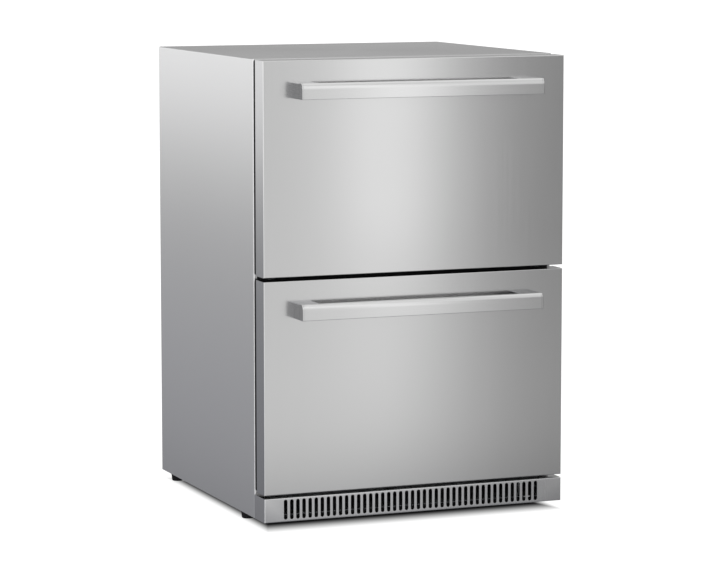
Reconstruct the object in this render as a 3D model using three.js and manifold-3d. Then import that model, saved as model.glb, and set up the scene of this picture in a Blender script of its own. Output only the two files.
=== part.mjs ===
// Under-counter drawer refrigerator: a foam-insulated steel cabinet with two
// full-extension drawers, a slotted air grille below them and a sealed cooling
// unit at the bottom rear.
//
// Millimetres. +X is right, -Y is the front, +Z is up. The origin is on the
// floor, in the middle of the object's footprint, handles included.

import * as THREE from "three";
import { mergeVertices } from "three/addons/utils/BufferGeometryUtils.js";
import Module from "manifold-3d";

const wasm = await Module();
wasm.setup();

// ---------------------------------------------------------------- dimensions

// Outside
const WIDTH = 598;
const CABINET_DEPTH = 543;
const CABINET_HEIGHT = 845;
const FOOT_HEIGHT = 17.5;
const SEAL_GAP = 13; // from the cabinet's face to the back of a drawer front
const FRONT_THICKNESS = 41;
const HANDLE_PROJECTION = 42;

// Heights of the fronts, from the top down
const TOP_REVEAL = 1.5;
const FRONT_HEIGHT = 393;
const FRONT_GAP = 7;

// Sheets, walls and clearances
const SHEET = 1;
const LINER_WALL = 2;
const FIT = 0.3; // clearance between two pieces that touch in the real object
const FLANGE = 22; // turned-in front edge of the outer panels
const BACK_FLANGE = 16;
const INSULATION = 41; // from the outside of the cabinet to the inside of the liner

// Drawer inside
const BIN_HEIGHT = 210;
const BIN_BOTTOM = 38; // above the bottom of its drawer front
const SLIDE_HEIGHT = 45;
const SLIDE_THICKNESS = 12.7;
const SLIDE_SHEET = 1.2;
const FRAME_SHEET = 1.5;

// Machine compartment, at the bottom rear
const COMPARTMENT_DEPTH = 215;
const COMPARTMENT_HEIGHT = 195;
const FLOOR_SHEET_Z = FOOT_HEIGHT + 41;

// Derived places
const HALF = WIDTH / 2;
const DEPTH = HANDLE_PROJECTION + FRONT_THICKNESS + SEAL_GAP + CABINET_DEPTH;
const Y_HANDLE = -DEPTH / 2;
const Y_FRONT = Y_HANDLE + HANDLE_PROJECTION; // outer face of the drawer fronts
const Y_FRONT_BACK = Y_FRONT + FRONT_THICKNESS;
const Y_FACE = Y_FRONT_BACK + SEAL_GAP; // front face of the cabinet
const Y_BACK = DEPTH / 2;
const Z_TOP = FOOT_HEIGHT + CABINET_HEIGHT;
const UPPER_Z = Z_TOP - TOP_REVEAL - FRONT_HEIGHT; // bottom of the upper front
const LOWER_Z = UPPER_Z - FRONT_GAP - FRONT_HEIGHT;
const LINER_HALF = HALF - INSULATION;
const LINER_TOP = Z_TOP - INSULATION - SHEET;
const LINER_FLOOR = FLOOR_SHEET_Z + INSULATION - 0.5;
const LINER_BACK = Y_BACK - INSULATION - SHEET;
const BULKHEAD_Y = Y_BACK - COMPARTMENT_DEPTH;
const COMPARTMENT_TOP = FOOT_HEIGHT + COMPARTMENT_HEIGHT;
const STEP_Y = BULKHEAD_Y - INSULATION; // front of the step over the compartment
const STEP_TOP = COMPARTMENT_TOP + INSULATION + SHEET;

// ----------------------------------------------------------------- materials

function material(color, roughness, metalness) {
  return new THREE.MeshStandardMaterial({ color, roughness, metalness });
}

const brushedSteel = material(0xb9babb, 0.34, 1);
const panelSteel = material(0xa9acb0, 0.38, 1);
const handleSteel = material(0xc6c7c8, 0.28, 1);
const zincSteel = material(0xb4b8bc, 0.42, 1);
const blackMetal = material(0x17181a, 0.45, 0.4);
const finMetal = material(0xc9ccce, 0.4, 1);
const linerPlastic = material(0xe9eaea, 0.35, 0);
const blackPlastic = material(0x16171a, 0.55, 0);
const greyPlastic = material(0x8d9195, 0.5, 0);
const gasketRubber = material(0x2a2b2d, 0.7, 0);
const foam = material(0xe6d9a8, 0.9, 0);
const displayGlass = material(0x0b0d10, 0.1, 0);
const lampPlastic = material(0xf4f4ee, 0.3, 0);

// ------------------------------------------------------------ solid geometry

/** A closed three.js geometry as a manifold solid. */
function solid(geometry) {
  const bare = geometry.clone();
  bare.deleteAttribute("normal");
  bare.deleteAttribute("uv");
  const merged = mergeVertices(bare, 1e-4);
  return new wasm.Manifold(
    new wasm.Mesh({
      numProp: 3,
      vertProperties: merged.attributes.position.array,
      triVerts: new Uint32Array(merged.index.array),
    }),
  );
}

/** A manifold solid as a three.js geometry. */
function geometryOf(body) {
  const { vertProperties, triVerts } = body.getMesh();
  const geometry = new THREE.BufferGeometry();
  geometry.setAttribute("position", new THREE.BufferAttribute(vertProperties, 3));
  geometry.setIndex(new THREE.BufferAttribute(triVerts, 1));
  geometry.computeVertexNormals();
  return geometry;
}

function part(name, body, surface) {
  const mesh = new THREE.Mesh(geometryOf(body), surface);
  mesh.name = name;
  return mesh;
}

const join = (...bodies) => bodies.reduce((a, b) => a.add(b));
const cut = (body, ...tools) => tools.reduce((a, b) => a.subtract(b), body);

/** A box between two places on each axis, given in either order. */
function block([x0, x1], [y0, y1], [z0, z1]) {
  const box = new THREE.BoxGeometry(Math.abs(x1 - x0), Math.abs(y1 - y0), Math.abs(z1 - z0));
  return solid(box.translate((x0 + x1) / 2, (y0 + y1) / 2, (z0 + z1) / 2));
}

const both = (reach) => [-reach, reach];

/** A box open on one side: the shell that is left between an outer and an inner box. */
function shell(outer, inner) {
  return cut(block(...outer), block(...inner));
}

const ALONG_X = new THREE.Matrix4().makeBasis(
  new THREE.Vector3(0, 1, 0),
  new THREE.Vector3(0, 0, 1),
  new THREE.Vector3(1, 0, 0),
);
const ALONG_MINUS_Y = new THREE.Matrix4().makeBasis(
  new THREE.Vector3(1, 0, 0),
  new THREE.Vector3(0, 0, 1),
  new THREE.Vector3(0, -1, 0),
);

function extrude(shape, depth, curveSegments = 6) {
  return new THREE.ExtrudeGeometry(shape, { depth, curveSegments, bevelEnabled: false });
}

/** A side view, drawn as (y, z), extruded across the object from x0 to x1. */
function acrossX(shape, x0, x1, curveSegments) {
  const body = extrude(shape, x1 - x0, curveSegments).applyMatrix4(ALONG_X);
  return solid(body.translate(x0, 0, 0));
}

/** A front view, drawn as (x, z), extruded from y0 back to y1. */
function acrossY(shape, y0, y1, curveSegments) {
  const body = extrude(shape, y1 - y0, curveSegments).applyMatrix4(ALONG_MINUS_Y);
  return solid(body.translate(0, y1, 0));
}

/** A closed outline whose corners are rounded where the point carries a radius. */
function outline(points) {
  const shape = new THREE.Shape();
  points.forEach(([x, y, radius = 0], i) => {
    const corner = new THREE.Vector2(x, y);
    const before = new THREE.Vector2(...points.at(i - 1)).sub(corner).setLength(radius).add(corner);
    const after = new THREE.Vector2(...points[(i + 1) % points.length])
      .sub(corner)
      .setLength(radius)
      .add(corner);
    if (i === 0) shape.moveTo(before.x, before.y);
    else shape.lineTo(before.x, before.y);
    if (radius > 0) shape.quadraticCurveTo(x, y, after.x, after.y);
  });
  shape.closePath();
  return shape;
}

function rectangle(x0, x1, y0, y1, radius = 0) {
  return outline([
    [x0, y0, radius],
    [x1, y0, radius],
    [x1, y1, radius],
    [x0, y1, radius],
  ]);
}

/** An upright slot with round ends. */
function slot(x, z0, z1, width) {
  const r = width / 2;
  const shape = new THREE.Shape();
  shape.absarc(x, z1 - r, r, 0, Math.PI, false);
  shape.absarc(x, z0 + r, r, Math.PI, 2 * Math.PI, false);
  shape.closePath();
  return shape;
}

/** Evenly spaced values, centred on zero. */
function spread(count, pitch) {
  return Array.from({ length: count }, (_, i) => (i - (count - 1) / 2) * pitch);
}

/** A profile of [radius, height] points turned about the Z axis. */
function turned(profile, segments = 24) {
  const points = profile.map(([r, z]) => new THREE.Vector2(r, z));
  return solid(new THREE.LatheGeometry(points, segments).rotateX(Math.PI / 2));
}

function rod(radius, z0, z1, segments = 24) {
  return turned([[0, z0], [radius, z0], [radius, z1], [0, z1]], segments);
}

// ------------------------------------------------------------ cabinet casing

const FOOT_X = HALF - 20;
const FOOT_Y = { front: Y_FACE + 93, rear: Y_BACK - 38.5 };
const STUD_RADIUS = 4;

/** The holes that the foot studs pass through. */
function studHoles(z0, z1) {
  const places = [-FOOT_X, FOOT_X].flatMap((x) => Object.values(FOOT_Y).map((y) => [x, y]));
  return places.map(([x, y]) => rod(STUD_RADIUS + 0.4, z0, z1, 12).translate([x, y, 0]));
}

/** One side of the casing: a sheet folded in at the front, the back and the bottom. */
function sidePanel(name, side) {
  const x = (fromOutside) => side * (HALF - fromOutside);
  const foldTop = Z_TOP - SHEET - FIT;
  const web = block([x(0), x(SHEET)], [Y_FACE, Y_BACK], [FOOT_HEIGHT, Z_TOP]);
  const front = block([x(0), x(SHEET + FLANGE)], [Y_FACE, Y_FACE + SHEET], [FOOT_HEIGHT, foldTop]);
  const back = block([x(0), x(BACK_FLANGE)], [Y_BACK - SHEET, Y_BACK], [FOOT_HEIGHT, foldTop]);
  const bottom = block([x(0), x(40)], [Y_FACE, Y_BACK], [FOOT_HEIGHT, FOOT_HEIGHT + SHEET]);
  const folded = join(web, front, back, bottom);
  return part(name, cut(folded, ...studHoles(FOOT_HEIGHT - 1, FOOT_HEIGHT + 2)), panelSteel);
}

function topPanel() {
  const plate = block(both(HALF - SHEET - FIT), [Y_FACE, Y_BACK], [Z_TOP - SHEET, Z_TOP]);
  const frontReach = HALF - SHEET - FLANGE - FIT;
  const front = block(both(frontReach), [Y_FACE, Y_FACE + SHEET], [Z_TOP - FLANGE, Z_TOP]);
  const backReach = HALF - BACK_FLANGE - FIT;
  const back = block(both(backReach), [Y_BACK - SHEET, Y_BACK], [Z_TOP - BACK_FLANGE, Z_TOP]);
  return part("top_panel", join(plate, front, back), panelSteel);
}

const BACK_SHEET_Y = Y_BACK - 2 * SHEET - FIT;

function backPanel() {
  const z = [COMPARTMENT_TOP + SHEET + FIT, Z_TOP - SHEET - FIT];
  return part(
    "back_panel",
    block(both(HALF - SHEET - FIT), [BACK_SHEET_Y, BACK_SHEET_Y + SHEET], z),
    zincSteel,
  );
}

function basePan() {
  const z = FOOT_HEIGHT + SHEET + FIT;
  const y1 = BACK_SHEET_Y + 0.7;
  const tray = block(both(HALF - SHEET - FIT), [Y_FACE + SHEET + FIT, y1], [z, z + 1.5]);
  const lip = block(both(HALF - BACK_FLANGE), [y1 - SHEET, y1], [z, z + 16]);
  return part("base_pan", cut(join(tray, lip), ...studHoles(z - 1, z + 3)), zincSteel);
}

/** The folded sheet under the insulation: the floor, the bulkhead and the
 *  compartment's ceiling, with a front lip that the lower seal meets. */
function compartmentFloor() {
  const z = FLOOR_SHEET_Z;
  const lipTop = z + 21.5;
  const rear = BACK_SHEET_Y - FIT;
  const folded = outline([
    [Y_FACE, z],
    [BULKHEAD_Y + SHEET, z],
    [BULKHEAD_Y + SHEET, COMPARTMENT_TOP],
    [rear, COMPARTMENT_TOP],
    [rear, COMPARTMENT_TOP + SHEET],
    [BULKHEAD_Y, COMPARTMENT_TOP + SHEET],
    [BULKHEAD_Y, z + SHEET],
    [Y_FACE + SHEET, z + SHEET],
    [Y_FACE + SHEET, lipTop],
    [Y_FACE, lipTop],
  ]);
  const reach = HALF - SHEET - FIT;
  const notch = (side) =>
    block(
      [side * (HALF - SHEET - FLANGE - FIT), side * HALF],
      [Y_FACE - 1, Y_FACE + SHEET + FIT],
      [z - 1, lipTop + 1],
    );
  return part(
    "compartment_floor",
    cut(acrossX(folded, -reach, reach), notch(-1), notch(1)),
    zincSteel,
  );
}

/** The liner's side view, grown outwards by the given amount, from the front at y. */
function linerOutline(grow, y) {
  const r = 14 + grow;
  const rInner = 14 - grow;
  return outline([
    [y, LINER_FLOOR - grow],
    [STEP_Y + grow, LINER_FLOOR - grow, r],
    [STEP_Y + grow, STEP_TOP - grow, rInner],
    [LINER_BACK + grow, STEP_TOP - grow, r],
    [LINER_BACK + grow, LINER_TOP + grow, r],
    [y, LINER_TOP + grow],
  ]);
}

function linerSpace(grow, y) {
  const reach = LINER_HALF + grow;
  return acrossX(linerOutline(grow, y), -reach, reach, 4);
}

function innerLiner() {
  const lip = 2 * FIT;
  const flange = block(
    both(HALF - SHEET - FLANGE - FIT),
    [Y_FACE, Y_FACE + LINER_WALL],
    [FLOOR_SHEET_Z + FLANGE - 0.5 + FIT, Z_TOP - FLANGE - FIT],
  );
  const outer = join(linerSpace(LINER_WALL, Y_FACE), flange);
  return part("inner_liner", cut(outer, linerSpace(0, Y_FACE - lip)), linerPlastic);
}

function cabinetFoam() {
  const y0 = Y_FACE + LINER_WALL + FIT;
  const rear = BACK_SHEET_Y - FIT;
  const under = FLOOR_SHEET_Z + SHEET + FIT;
  const overCompartment = COMPARTMENT_TOP + SHEET + FIT;
  const block = outline([
    [y0, under],
    [BULKHEAD_Y - FIT, under],
    [BULKHEAD_Y - FIT, overCompartment],
    [rear, overCompartment],
    [rear, Z_TOP - SHEET - FIT],
    [y0, Z_TOP - SHEET - FIT],
  ]);
  const reach = HALF - SHEET - FIT;
  const filled = acrossX(block, -reach, reach);
  return part("cabinet_foam", cut(filled, linerSpace(LINER_WALL + FIT, y0 - 1)), foam);
}

const MULLION_HEIGHT = 44;
const MULLION_Z = UPPER_Z - FRONT_GAP / 2; // its middle

/** The rail between the two openings that both seals meet. */
function centreMullion() {
  const reach = both(LINER_HALF - FIT);
  const low = MULLION_Z - MULLION_HEIGHT / 2;
  const high = MULLION_Z + MULLION_HEIGHT / 2;
  const depth = 48;
  const channel = shell(
    [reach, [Y_FACE, Y_FACE + depth], [low, high]],
    [both(LINER_HALF), [Y_FACE + SLIDE_SHEET, Y_FACE + depth + 1], [low + SLIDE_SHEET, high - SLIDE_SHEET]],
  );
  return part("centre_mullion", channel, brushedSteel);
}

// ------------------------------------------------------- grille, rear, feet

const GRILLE_HEIGHT = 44.5;
const GRILLE_SHEET = 1.2;
const GRILLE_SLOTS = { count: 43, pitch: 12, first: 41, width: 7, below: 4.2, above: 3.3 };

/** The slotted cover below the drawers, flush with the drawer fronts. */
function kickGrille() {
  const z0 = FOOT_HEIGHT;
  const z1 = z0 + GRILLE_HEIGHT;
  const face = rectangle(-HALF, HALF, z0, z1);
  for (let i = 0; i < GRILLE_SLOTS.count; i += 1) {
    const x = -HALF + GRILLE_SLOTS.first + i * GRILLE_SLOTS.pitch;
    const { below, above, width } = GRILLE_SLOTS;
    face.holes.push(slot(x, z0 + below, z1 - above, width));
  }
  const rear = Y_FACE - FIT;
  const depth = [Y_FRONT, rear];
  const end = (side) => block([side * HALF, side * (HALF - GRILLE_SHEET)], depth, [z0, z1]);
  const lid = block(both(HALF), depth, [z1 - GRILLE_SHEET, z1]);
  const lip = block(both(HALF), [Y_FRONT, Y_FRONT + 15], [z0, z0 + GRILLE_SHEET]);
  const plate = acrossY(face, Y_FRONT, Y_FRONT + GRILLE_SHEET, 2);
  return part("kick_grille", join(plate, end(-1), end(1), lid, lip), brushedSteel);
}

const COVER = {
  reach: HALF - BACK_FLANGE - 0.5,
  low: FOOT_HEIGHT + 3,
  high: COMPARTMENT_TOP + 0.5,
  recess: 9,
  rim: 18,
};
const GLAND = { x: -235, z: 52, radius: 8 };

/** The louvred rear cover of the machine compartment, dished inwards. */
function machineCover() {
  const yOut = Y_BACK - FIT;
  const inset = COVER.reach - COVER.rim;
  const zIn = [COVER.low + COVER.rim, COVER.high - COVER.rim];
  const rimPlate = block(both(COVER.reach), [yOut - SHEET, yOut], [COVER.low, COVER.high]);
  const dish = block(both(inset), [yOut - COVER.recess, yOut], zIn);
  const hollow = block(
    both(inset - SHEET),
    [yOut - COVER.recess + SHEET, yOut + 1],
    [zIn[0] + SHEET, zIn[1] - SHEET],
  );
  const louvres = spread(3, 150).flatMap((x) =>
    spread(8, 13).map((dz) => {
      const z = (COVER.low + COVER.high) / 2 + 8 + dz;
      return block([x - 55, x + 55], [yOut - 2 * COVER.recess, yOut], [z - 2.5, z + 2.5]);
    }),
  );
  const cordHole = rod(GLAND.radius + FIT, -20, 20, 16).rotate([90, 0, 0]);
  const placed = cordHole.translate([GLAND.x, yOut, GLAND.z]);
  return part("machine_cover", cut(join(rimPlate, dish), hollow, ...louvres, placed), zincSteel);
}

/** The bush in the rear cover that the supply cord comes out of. */
function cordGland() {
  const floor = COVER.recess - SHEET; // depth of the dished face below the rim
  const profile = [
    [4, -12],
    [GLAND.radius, -12],
    [GLAND.radius, FIT],
    [GLAND.radius + 4, FIT],
    [GLAND.radius + 3, 3.5],
    [6, floor - 1],
    [4, floor - 1],
    [4, -12],
  ];
  const gland = part("cord_gland", turned(profile, 16), blackPlastic);
  gland.rotation.x = -Math.PI / 2;
  gland.position.set(GLAND.x, Y_BACK - FIT - floor, GLAND.z);
  return gland;
}

/** A levelling foot: a tapered pad on a threaded stud. */
function levellingFoot(name, x, y) {
  const top = FOOT_HEIGHT - FIT;
  const profile = [
    [0, 0],
    [9.5, 0],
    [10.5, 1.2],
    [11, top - 5],
    [12.5, top - 3],
    [12.5, top],
    [STUD_RADIUS, top],
    [STUD_RADIUS, 42],
    [STUD_RADIUS - 1, 43.5],
    [0, 43.5],
  ];
  const foot = part(name, turned(profile, 16), blackPlastic);
  foot.position.set(x, y, 0);
  return foot;
}

// --------------------------------------------------------------- cooling unit

const MACHINE_Y = (BULKHEAD_Y + SHEET + Y_BACK - COVER.recess) / 2;
const MACHINE_FLOOR = FOOT_HEIGHT + SHEET + FIT + 1.5 + FIT;

/** The sealed compressor: a domed oval can on a plate with four bolt sleeves. */
function compressor() {
  const halfHeight = 78;
  const radius = 74;
  const power = 2.7;
  const centre = MACHINE_FLOOR + 14 + halfHeight;
  const steps = 10;
  const profile = Array.from({ length: steps + 1 }, (_, i) => {
    const t = -Math.cos((Math.PI * i) / steps);
    const r = i % steps === 0 ? 0 : radius * (1 - Math.abs(t) ** power) ** (1 / power);
    return [r, t * halfHeight];
  });
  const can = turned(profile, 24).scale([1.25, 1, 1]).translate([0, 0, centre]);
  const plate = block(both(112), both(66), [MACHINE_FLOOR + 12, MACHINE_FLOOR + 15]);
  const band = rod(radius + 2.5, centre - 3, centre + 3, 24).scale([1.25, 1, 1]);
  const sleeves = [-1, 1].flatMap((sx) =>
    [-1, 1].map((sy) =>
      rod(9, MACHINE_FLOOR, MACHINE_FLOOR + 13, 12).translate([sx * 98, sy * 52, 0]),
    ),
  );
  const body = part("compressor", join(can, band, plate, ...sleeves), blackMetal);
  body.position.set(150, MACHINE_Y, 0);
  return body;
}

/** A tube-and-fin coil centred on its own origin, with its tubes along X. */
function finnedCoil(length, depth, height, fins, rows, columns) {
  const plates = spread(fins, (length - 12) / (fins - 1)).map((x) =>
    block([x - 0.5, x + 0.5], both(depth / 2), both(height / 2)),
  );
  const ends = [-1, 1].map((side) =>
    block([side * (length / 2 - 5), side * (length / 2 - 3)], both(depth / 2 + 1), both(height / 2 + 1)),
  );
  const tubes = spread(rows, height / rows).flatMap((z) =>
    spread(columns, depth / columns).map((y) =>
      rod(4, -length / 2, length / 2, 6).rotate([0, 90, 0]).translate([0, y, z]),
    ),
  );
  return join(...plates, ...ends, ...tubes);
}

const CONDENSER = { x: -166, length: 165, depth: 180, height: 136 };

function condenserCoil() {
  const { x, length, depth, height } = CONDENSER;
  const coil = part("condenser_coil", finnedCoil(length, depth, height, 7, 3, 2), blackMetal);
  coil.rotation.z = Math.PI / 2;
  coil.position.set(x, MACHINE_Y, MACHINE_FLOOR + 20 + height / 2);
  return coil;
}

/** The tray under the condenser that melt water dries from. */
function drainTray() {
  const { x, length, depth } = CONDENSER;
  const half = depth / 2 + 6;
  const tray = shell(
    [[x - half, x + half], both(length / 2 + 6), [0, 16]],
    [[x - half + 2, x + half - 2], both(length / 2 + 4), [2, 17]],
  );
  const body = part("drain_tray", tray, greyPlastic);
  body.position.set(0, MACHINE_Y, MACHINE_FLOOR);
  return body;
}

/** An axial fan's square frame with its motor on four struts, its axis along Z. */
function fanFrame(size, depth) {
  const bore = size / 2 - 4;
  const square = rectangle(-size / 2, size / 2, -size / 2, size / 2, 6);
  const ring = cut(solid(extrude(square, depth, 3)), rod(bore, -1, depth + 1, 24));
  const motor = rod(size * 0.17, 0, depth * 0.45, 16);
  const struts = [0, 90].map((turn) =>
    block(both(bore + 1), both(2), [0, 3]).rotate([0, 0, turn + 45]),
  );
  return join(ring, motor, ...struts);
}

/** The turning part of the same fan: a cup with five pitched blades. */
function fanRotor(size, depth) {
  const hub = size * 0.17;
  const tip = size / 2 - 7;
  const low = depth * 0.45 + 1;
  const high = depth - 1;
  const blades = spread(5, 72).map((turn) =>
    block([hub - 3, tip], both(size * 0.13), both(0.9))
      .rotate([26, 0, 0])
      .translate([0, 0, (low + high) / 2])
      .rotate([0, 0, turn]),
  );
  const envelope = rod(tip, low, high, 24);
  return join(rod(hub, low, high, 16), join(...blades).intersect(envelope));
}

/** Frame and rotor as two nodes, turned together so that their axis points as asked. */
function fan(name, size, depth, place, turn, surface) {
  const group = new THREE.Group();
  group.add(part(`${name}_frame`, fanFrame(size, depth), surface));
  group.add(part(`${name}_rotor`, fanRotor(size, depth), surface));
  group.position.set(...place);
  group.rotation.set(...turn);
  return group;
}

function condenserFan() {
  const place = [-58, MACHINE_Y, MACHINE_FLOOR + 24 + 60];
  return fan("condenser_fan", 120, 32, place, [0, Math.PI / 2, 0], blackPlastic);
}

const EVAPORATOR = { reach: 190, depth: 60, low: 505, high: 800, fanZ: 738, coilZ: 600 };
const EVAPORATOR_Y = LINER_BACK - FIT - EVAPORATOR.depth;

/** The duct cover on the back wall, with an intake at its foot and a round outlet. */
function evaporatorCover() {
  const { reach, low, high, fanZ } = EVAPORATOR;
  const wall = 2;
  const rear = LINER_BACK - FIT;
  const box = shell(
    [both(reach), [EVAPORATOR_Y, rear], [low, high]],
    [both(reach - wall), [EVAPORATOR_Y + wall, rear + 1], [low + wall, high - wall]],
  );
  const through = [EVAPORATOR_Y - 1, EVAPORATOR_Y + wall + 1];
  const outlet = spread(9, 10).map((dz) => {
    const half = Math.sqrt(48 ** 2 - dz ** 2);
    return block(both(half), through, [fanZ + dz - 2.5, fanZ + dz + 2.5]);
  });
  const intake = spread(15, 22).map((x) => block([x - 3, x + 3], through, [low + 12, low + 62]));
  return part("evaporator_cover", cut(box, ...outlet, ...intake), linerPlastic);
}

function evaporatorCoil() {
  const coil = part("evaporator_coil", finnedCoil(320, 44, 120, 7, 3, 2), finMetal);
  coil.position.set(0, EVAPORATOR_Y + 30, EVAPORATOR.coilZ);
  return coil;
}

function evaporatorFan() {
  const place = [0, EVAPORATOR_Y + 34, EVAPORATOR.fanZ];
  return fan("evaporator_fan", 110, 28, place, [Math.PI / 2, 0, 0], blackPlastic);
}

// ------------------------------------------------------------ controls, lamp

const CONTROL = { reach: 120, depth: 64, height: 24, buttonX: 80, displayReach: 40 };
const CONTROL_Y = Y_FACE + 9.5;
const CONTROL_TOP = LINER_TOP - FIT;
const CONTROL_Z = CONTROL_TOP - CONTROL.height / 2;
const BUTTON_RADIUS = 5;

/** A front-to-back cylinder from y0 to y1. */
function pin(radius, x, y0, y1, z) {
  return rod(radius, 0, y1 - y0, 16).rotate([-90, 0, 0]).translate([x, y0, z]);
}

function controlHousing() {
  const { reach, depth, height, buttonX, displayReach } = CONTROL;
  const view = outline([
    [CONTROL_Y, CONTROL_TOP],
    [CONTROL_Y, CONTROL_TOP - height, 2],
    [CONTROL_Y + depth, CONTROL_TOP - height + 10, 6],
    [CONTROL_Y + depth, CONTROL_TOP],
  ]);
  const window = block(both(displayReach), [CONTROL_Y - 1, CONTROL_Y + 3], both(7));
  const wells = [-buttonX, buttonX].map((x) =>
    pin(BUTTON_RADIUS + 0.4, x, CONTROL_Y - 1, CONTROL_Y + 14, CONTROL_Z),
  );
  const body = acrossX(view, -reach, reach, 3);
  return part(
    "control_housing",
    cut(body, window.translate([0, 0, CONTROL_Z]), ...wells),
    greyPlastic,
  );
}

function displayLens() {
  const reach = CONTROL.displayReach - FIT;
  const y = [CONTROL_Y - 0.5, CONTROL_Y + 3 - FIT];
  return part("display_lens", block(both(reach), y, [CONTROL_Z - 6.7, CONTROL_Z + 6.7]), displayGlass);
}

function controlButton(name, x) {
  const cap = pin(BUTTON_RADIUS, x, CONTROL_Y - 1.6, CONTROL_Y + 10, CONTROL_Z);
  return part(name, cap, blackPlastic);
}

/** The lamp's cover, on the ceiling behind the controls. */
function lampLens() {
  const y0 = CONTROL_Y + CONTROL.depth + 12;
  const view = outline([
    [y0, CONTROL_TOP],
    [y0, CONTROL_TOP - 9, 4],
    [y0 + 30, CONTROL_TOP - 9, 4],
    [y0 + 30, CONTROL_TOP],
  ]);
  return part("lamp_lens", acrossX(view, -60, 60, 3), lampPlastic);
}

// -------------------------------------------------------------------- drawers

// A drawer is drawn with z measured from the bottom of its own front.
const RIM_Z = BIN_BOTTOM + BIN_HEIGHT;
const FRAME_TOP = RIM_Z - SHEET - 2 * FIT;
const SLIDE_Z = FRAME_TOP - 27;
const SLIDE_X = LINER_HALF - FIT; // the side of a slide that is fixed to the wall
const FRAME_X = SLIDE_X - SLIDE_THICKNESS - FIT; // outside of the drawer frame
const BIN_X = FRAME_X - FRAME_SHEET - FIT;
const PLUG_Y = Y_FRONT_BACK + 8; // back of the raised field of the inner panel
const FRAME_Y = PLUG_Y + FIT;
const BIN_Y = FRAME_Y + FRAME_SHEET + FIT;
const SEAL = { inset: 1, foot: 1.5, width: 18 };

function frontSkin(name) {
  const inner = HALF - SHEET;
  const pan = shell(
    [both(HALF), [Y_FRONT, Y_FRONT_BACK], [0, FRONT_HEIGHT]],
    [both(inner), [Y_FRONT + SHEET, Y_FRONT_BACK + 1], [SHEET, FRONT_HEIGHT - SHEET]],
  );
  return part(`${name}_front_skin`, pan, brushedSteel);
}

/** The plastic back of a drawer front, with a raised field inside the seal. */
function innerPanel(name) {
  const reach = HALF - SHEET - FIT;
  const field = { reach: 255, low: 24, high: 369 };
  const plate = block(
    both(reach),
    [Y_FRONT_BACK - LINER_WALL, Y_FRONT_BACK],
    [SHEET + FIT, FRONT_HEIGHT - SHEET - FIT],
  );
  const raised = block(both(field.reach), [Y_FRONT_BACK - 1, PLUG_Y], [field.low, field.high]);
  const hollow = block(
    both(field.reach - LINER_WALL),
    [Y_FRONT_BACK - LINER_WALL - 1, PLUG_Y - LINER_WALL],
    [field.low + LINER_WALL, field.high - LINER_WALL],
  );
  return part(`${name}_inner_panel`, cut(join(plate, raised), hollow), linerPlastic);
}

function frontFoam(name) {
  const reach = HALF - SHEET - FIT;
  const edge = SHEET + FIT;
  const y = [Y_FRONT + SHEET + FIT, Y_FRONT_BACK - LINER_WALL - FIT];
  const slab = block(both(reach), y, [edge, FRONT_HEIGHT - edge]);
  const plug = block(both(252.7), [y[0], PLUG_Y - LINER_WALL - FIT], [26.3, 366.7]);
  return part(`${name}_front_foam`, join(slab, plug), foam);
}

function seal(name) {
  const { inset, foot, width } = SEAL;
  const x = HALF - inset;
  const y = [Y_FRONT_BACK + FIT, Y_FACE - FIT];
  const ring = cut(
    block(both(x), y, [foot, FRONT_HEIGHT - foot]),
    block(both(x - width), [y[0] - 1, y[1] + 1], [foot + width, FRONT_HEIGHT - foot - width]),
  );
  return part(`${name}_seal`, ring, gasketRubber);
}

const HANDLE = { length: 480, height: 29, thickness: 14, bow: 1, drop: 40, post: 40 };
const HANDLE_Z = FRONT_HEIGHT - HANDLE.drop - HANDLE.height / 2;

/** A bar with a flat back and a gently bowed face. */
function handleBar(name) {
  const { length, height, thickness, bow } = HANDLE;
  const half = height / 2;
  const radius = (half ** 2 + bow ** 2) / (2 * bow);
  const centreY = Y_HANDLE + radius;
  const sweep = Math.asin(half / radius);
  const back = Y_HANDLE + thickness;
  const section = new THREE.Shape();
  section.absarc(centreY, HANDLE_Z, radius, Math.PI - sweep, Math.PI + sweep, false);
  section.lineTo(back, HANDLE_Z - half);
  section.lineTo(back, HANDLE_Z + half);
  section.closePath();
  const bar = acrossX(section, -length / 2, length / 2, 12);
  return part(`${name}_handle_bar`, bar, handleSteel);
}

function handlePost(name, side) {
  const { length, height, thickness, post } = HANDLE;
  const outer = length / 2;
  const x = [side * outer, side * (outer - post)];
  const half = height / 2;
  const y = [Y_HANDLE + thickness + FIT, Y_FRONT - FIT];
  const view = rectangle(Math.min(...x), Math.max(...x), HANDLE_Z - half, HANDLE_Z + half, 1.5);
  const label = side < 0 ? "left" : "right";
  return part(`${name}_handle_post_${label}`, acrossY(view, ...y, 2), handleSteel);
}

/** The steel frame behind a front that carries its bin and rides on its slides. */
function drawerFrame(name, slideLength) {
  const y = [FRAME_Y, FRAME_Y + slideLength + 5];
  const z = [SLIDE_Z - 26, FRAME_TOP];
  const hoop = cut(
    block(both(FRAME_X), y, z),
    block(both(FRAME_X - FRAME_SHEET), [y[0] + FRAME_SHEET, y[1] - FRAME_SHEET], [z[0] - 1, z[1] + 1]),
  );
  return part(`${name}_frame`, hoop, zincSteel);
}

/** The open-topped bin, with its rim turned out. */
function bin(name, depth) {
  const z0 = BIN_BOTTOM;
  const y = [BIN_Y, BIN_Y + depth];
  const rimY = [FRAME_Y + FIT, y[1] + 8];
  const tub = block(both(BIN_X), y, [z0, RIM_Z]);
  const rim = block(both(FRAME_X + 7), rimY, [RIM_Z - SHEET, RIM_Z]);
  const inside = block(
    both(BIN_X - SHEET),
    [y[0] + SHEET, y[1] - SHEET],
    [z0 + SHEET, RIM_Z + 1],
  );
  return part(`${name}_bin`, cut(join(tub, rim), inside), brushedSteel);
}

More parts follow.
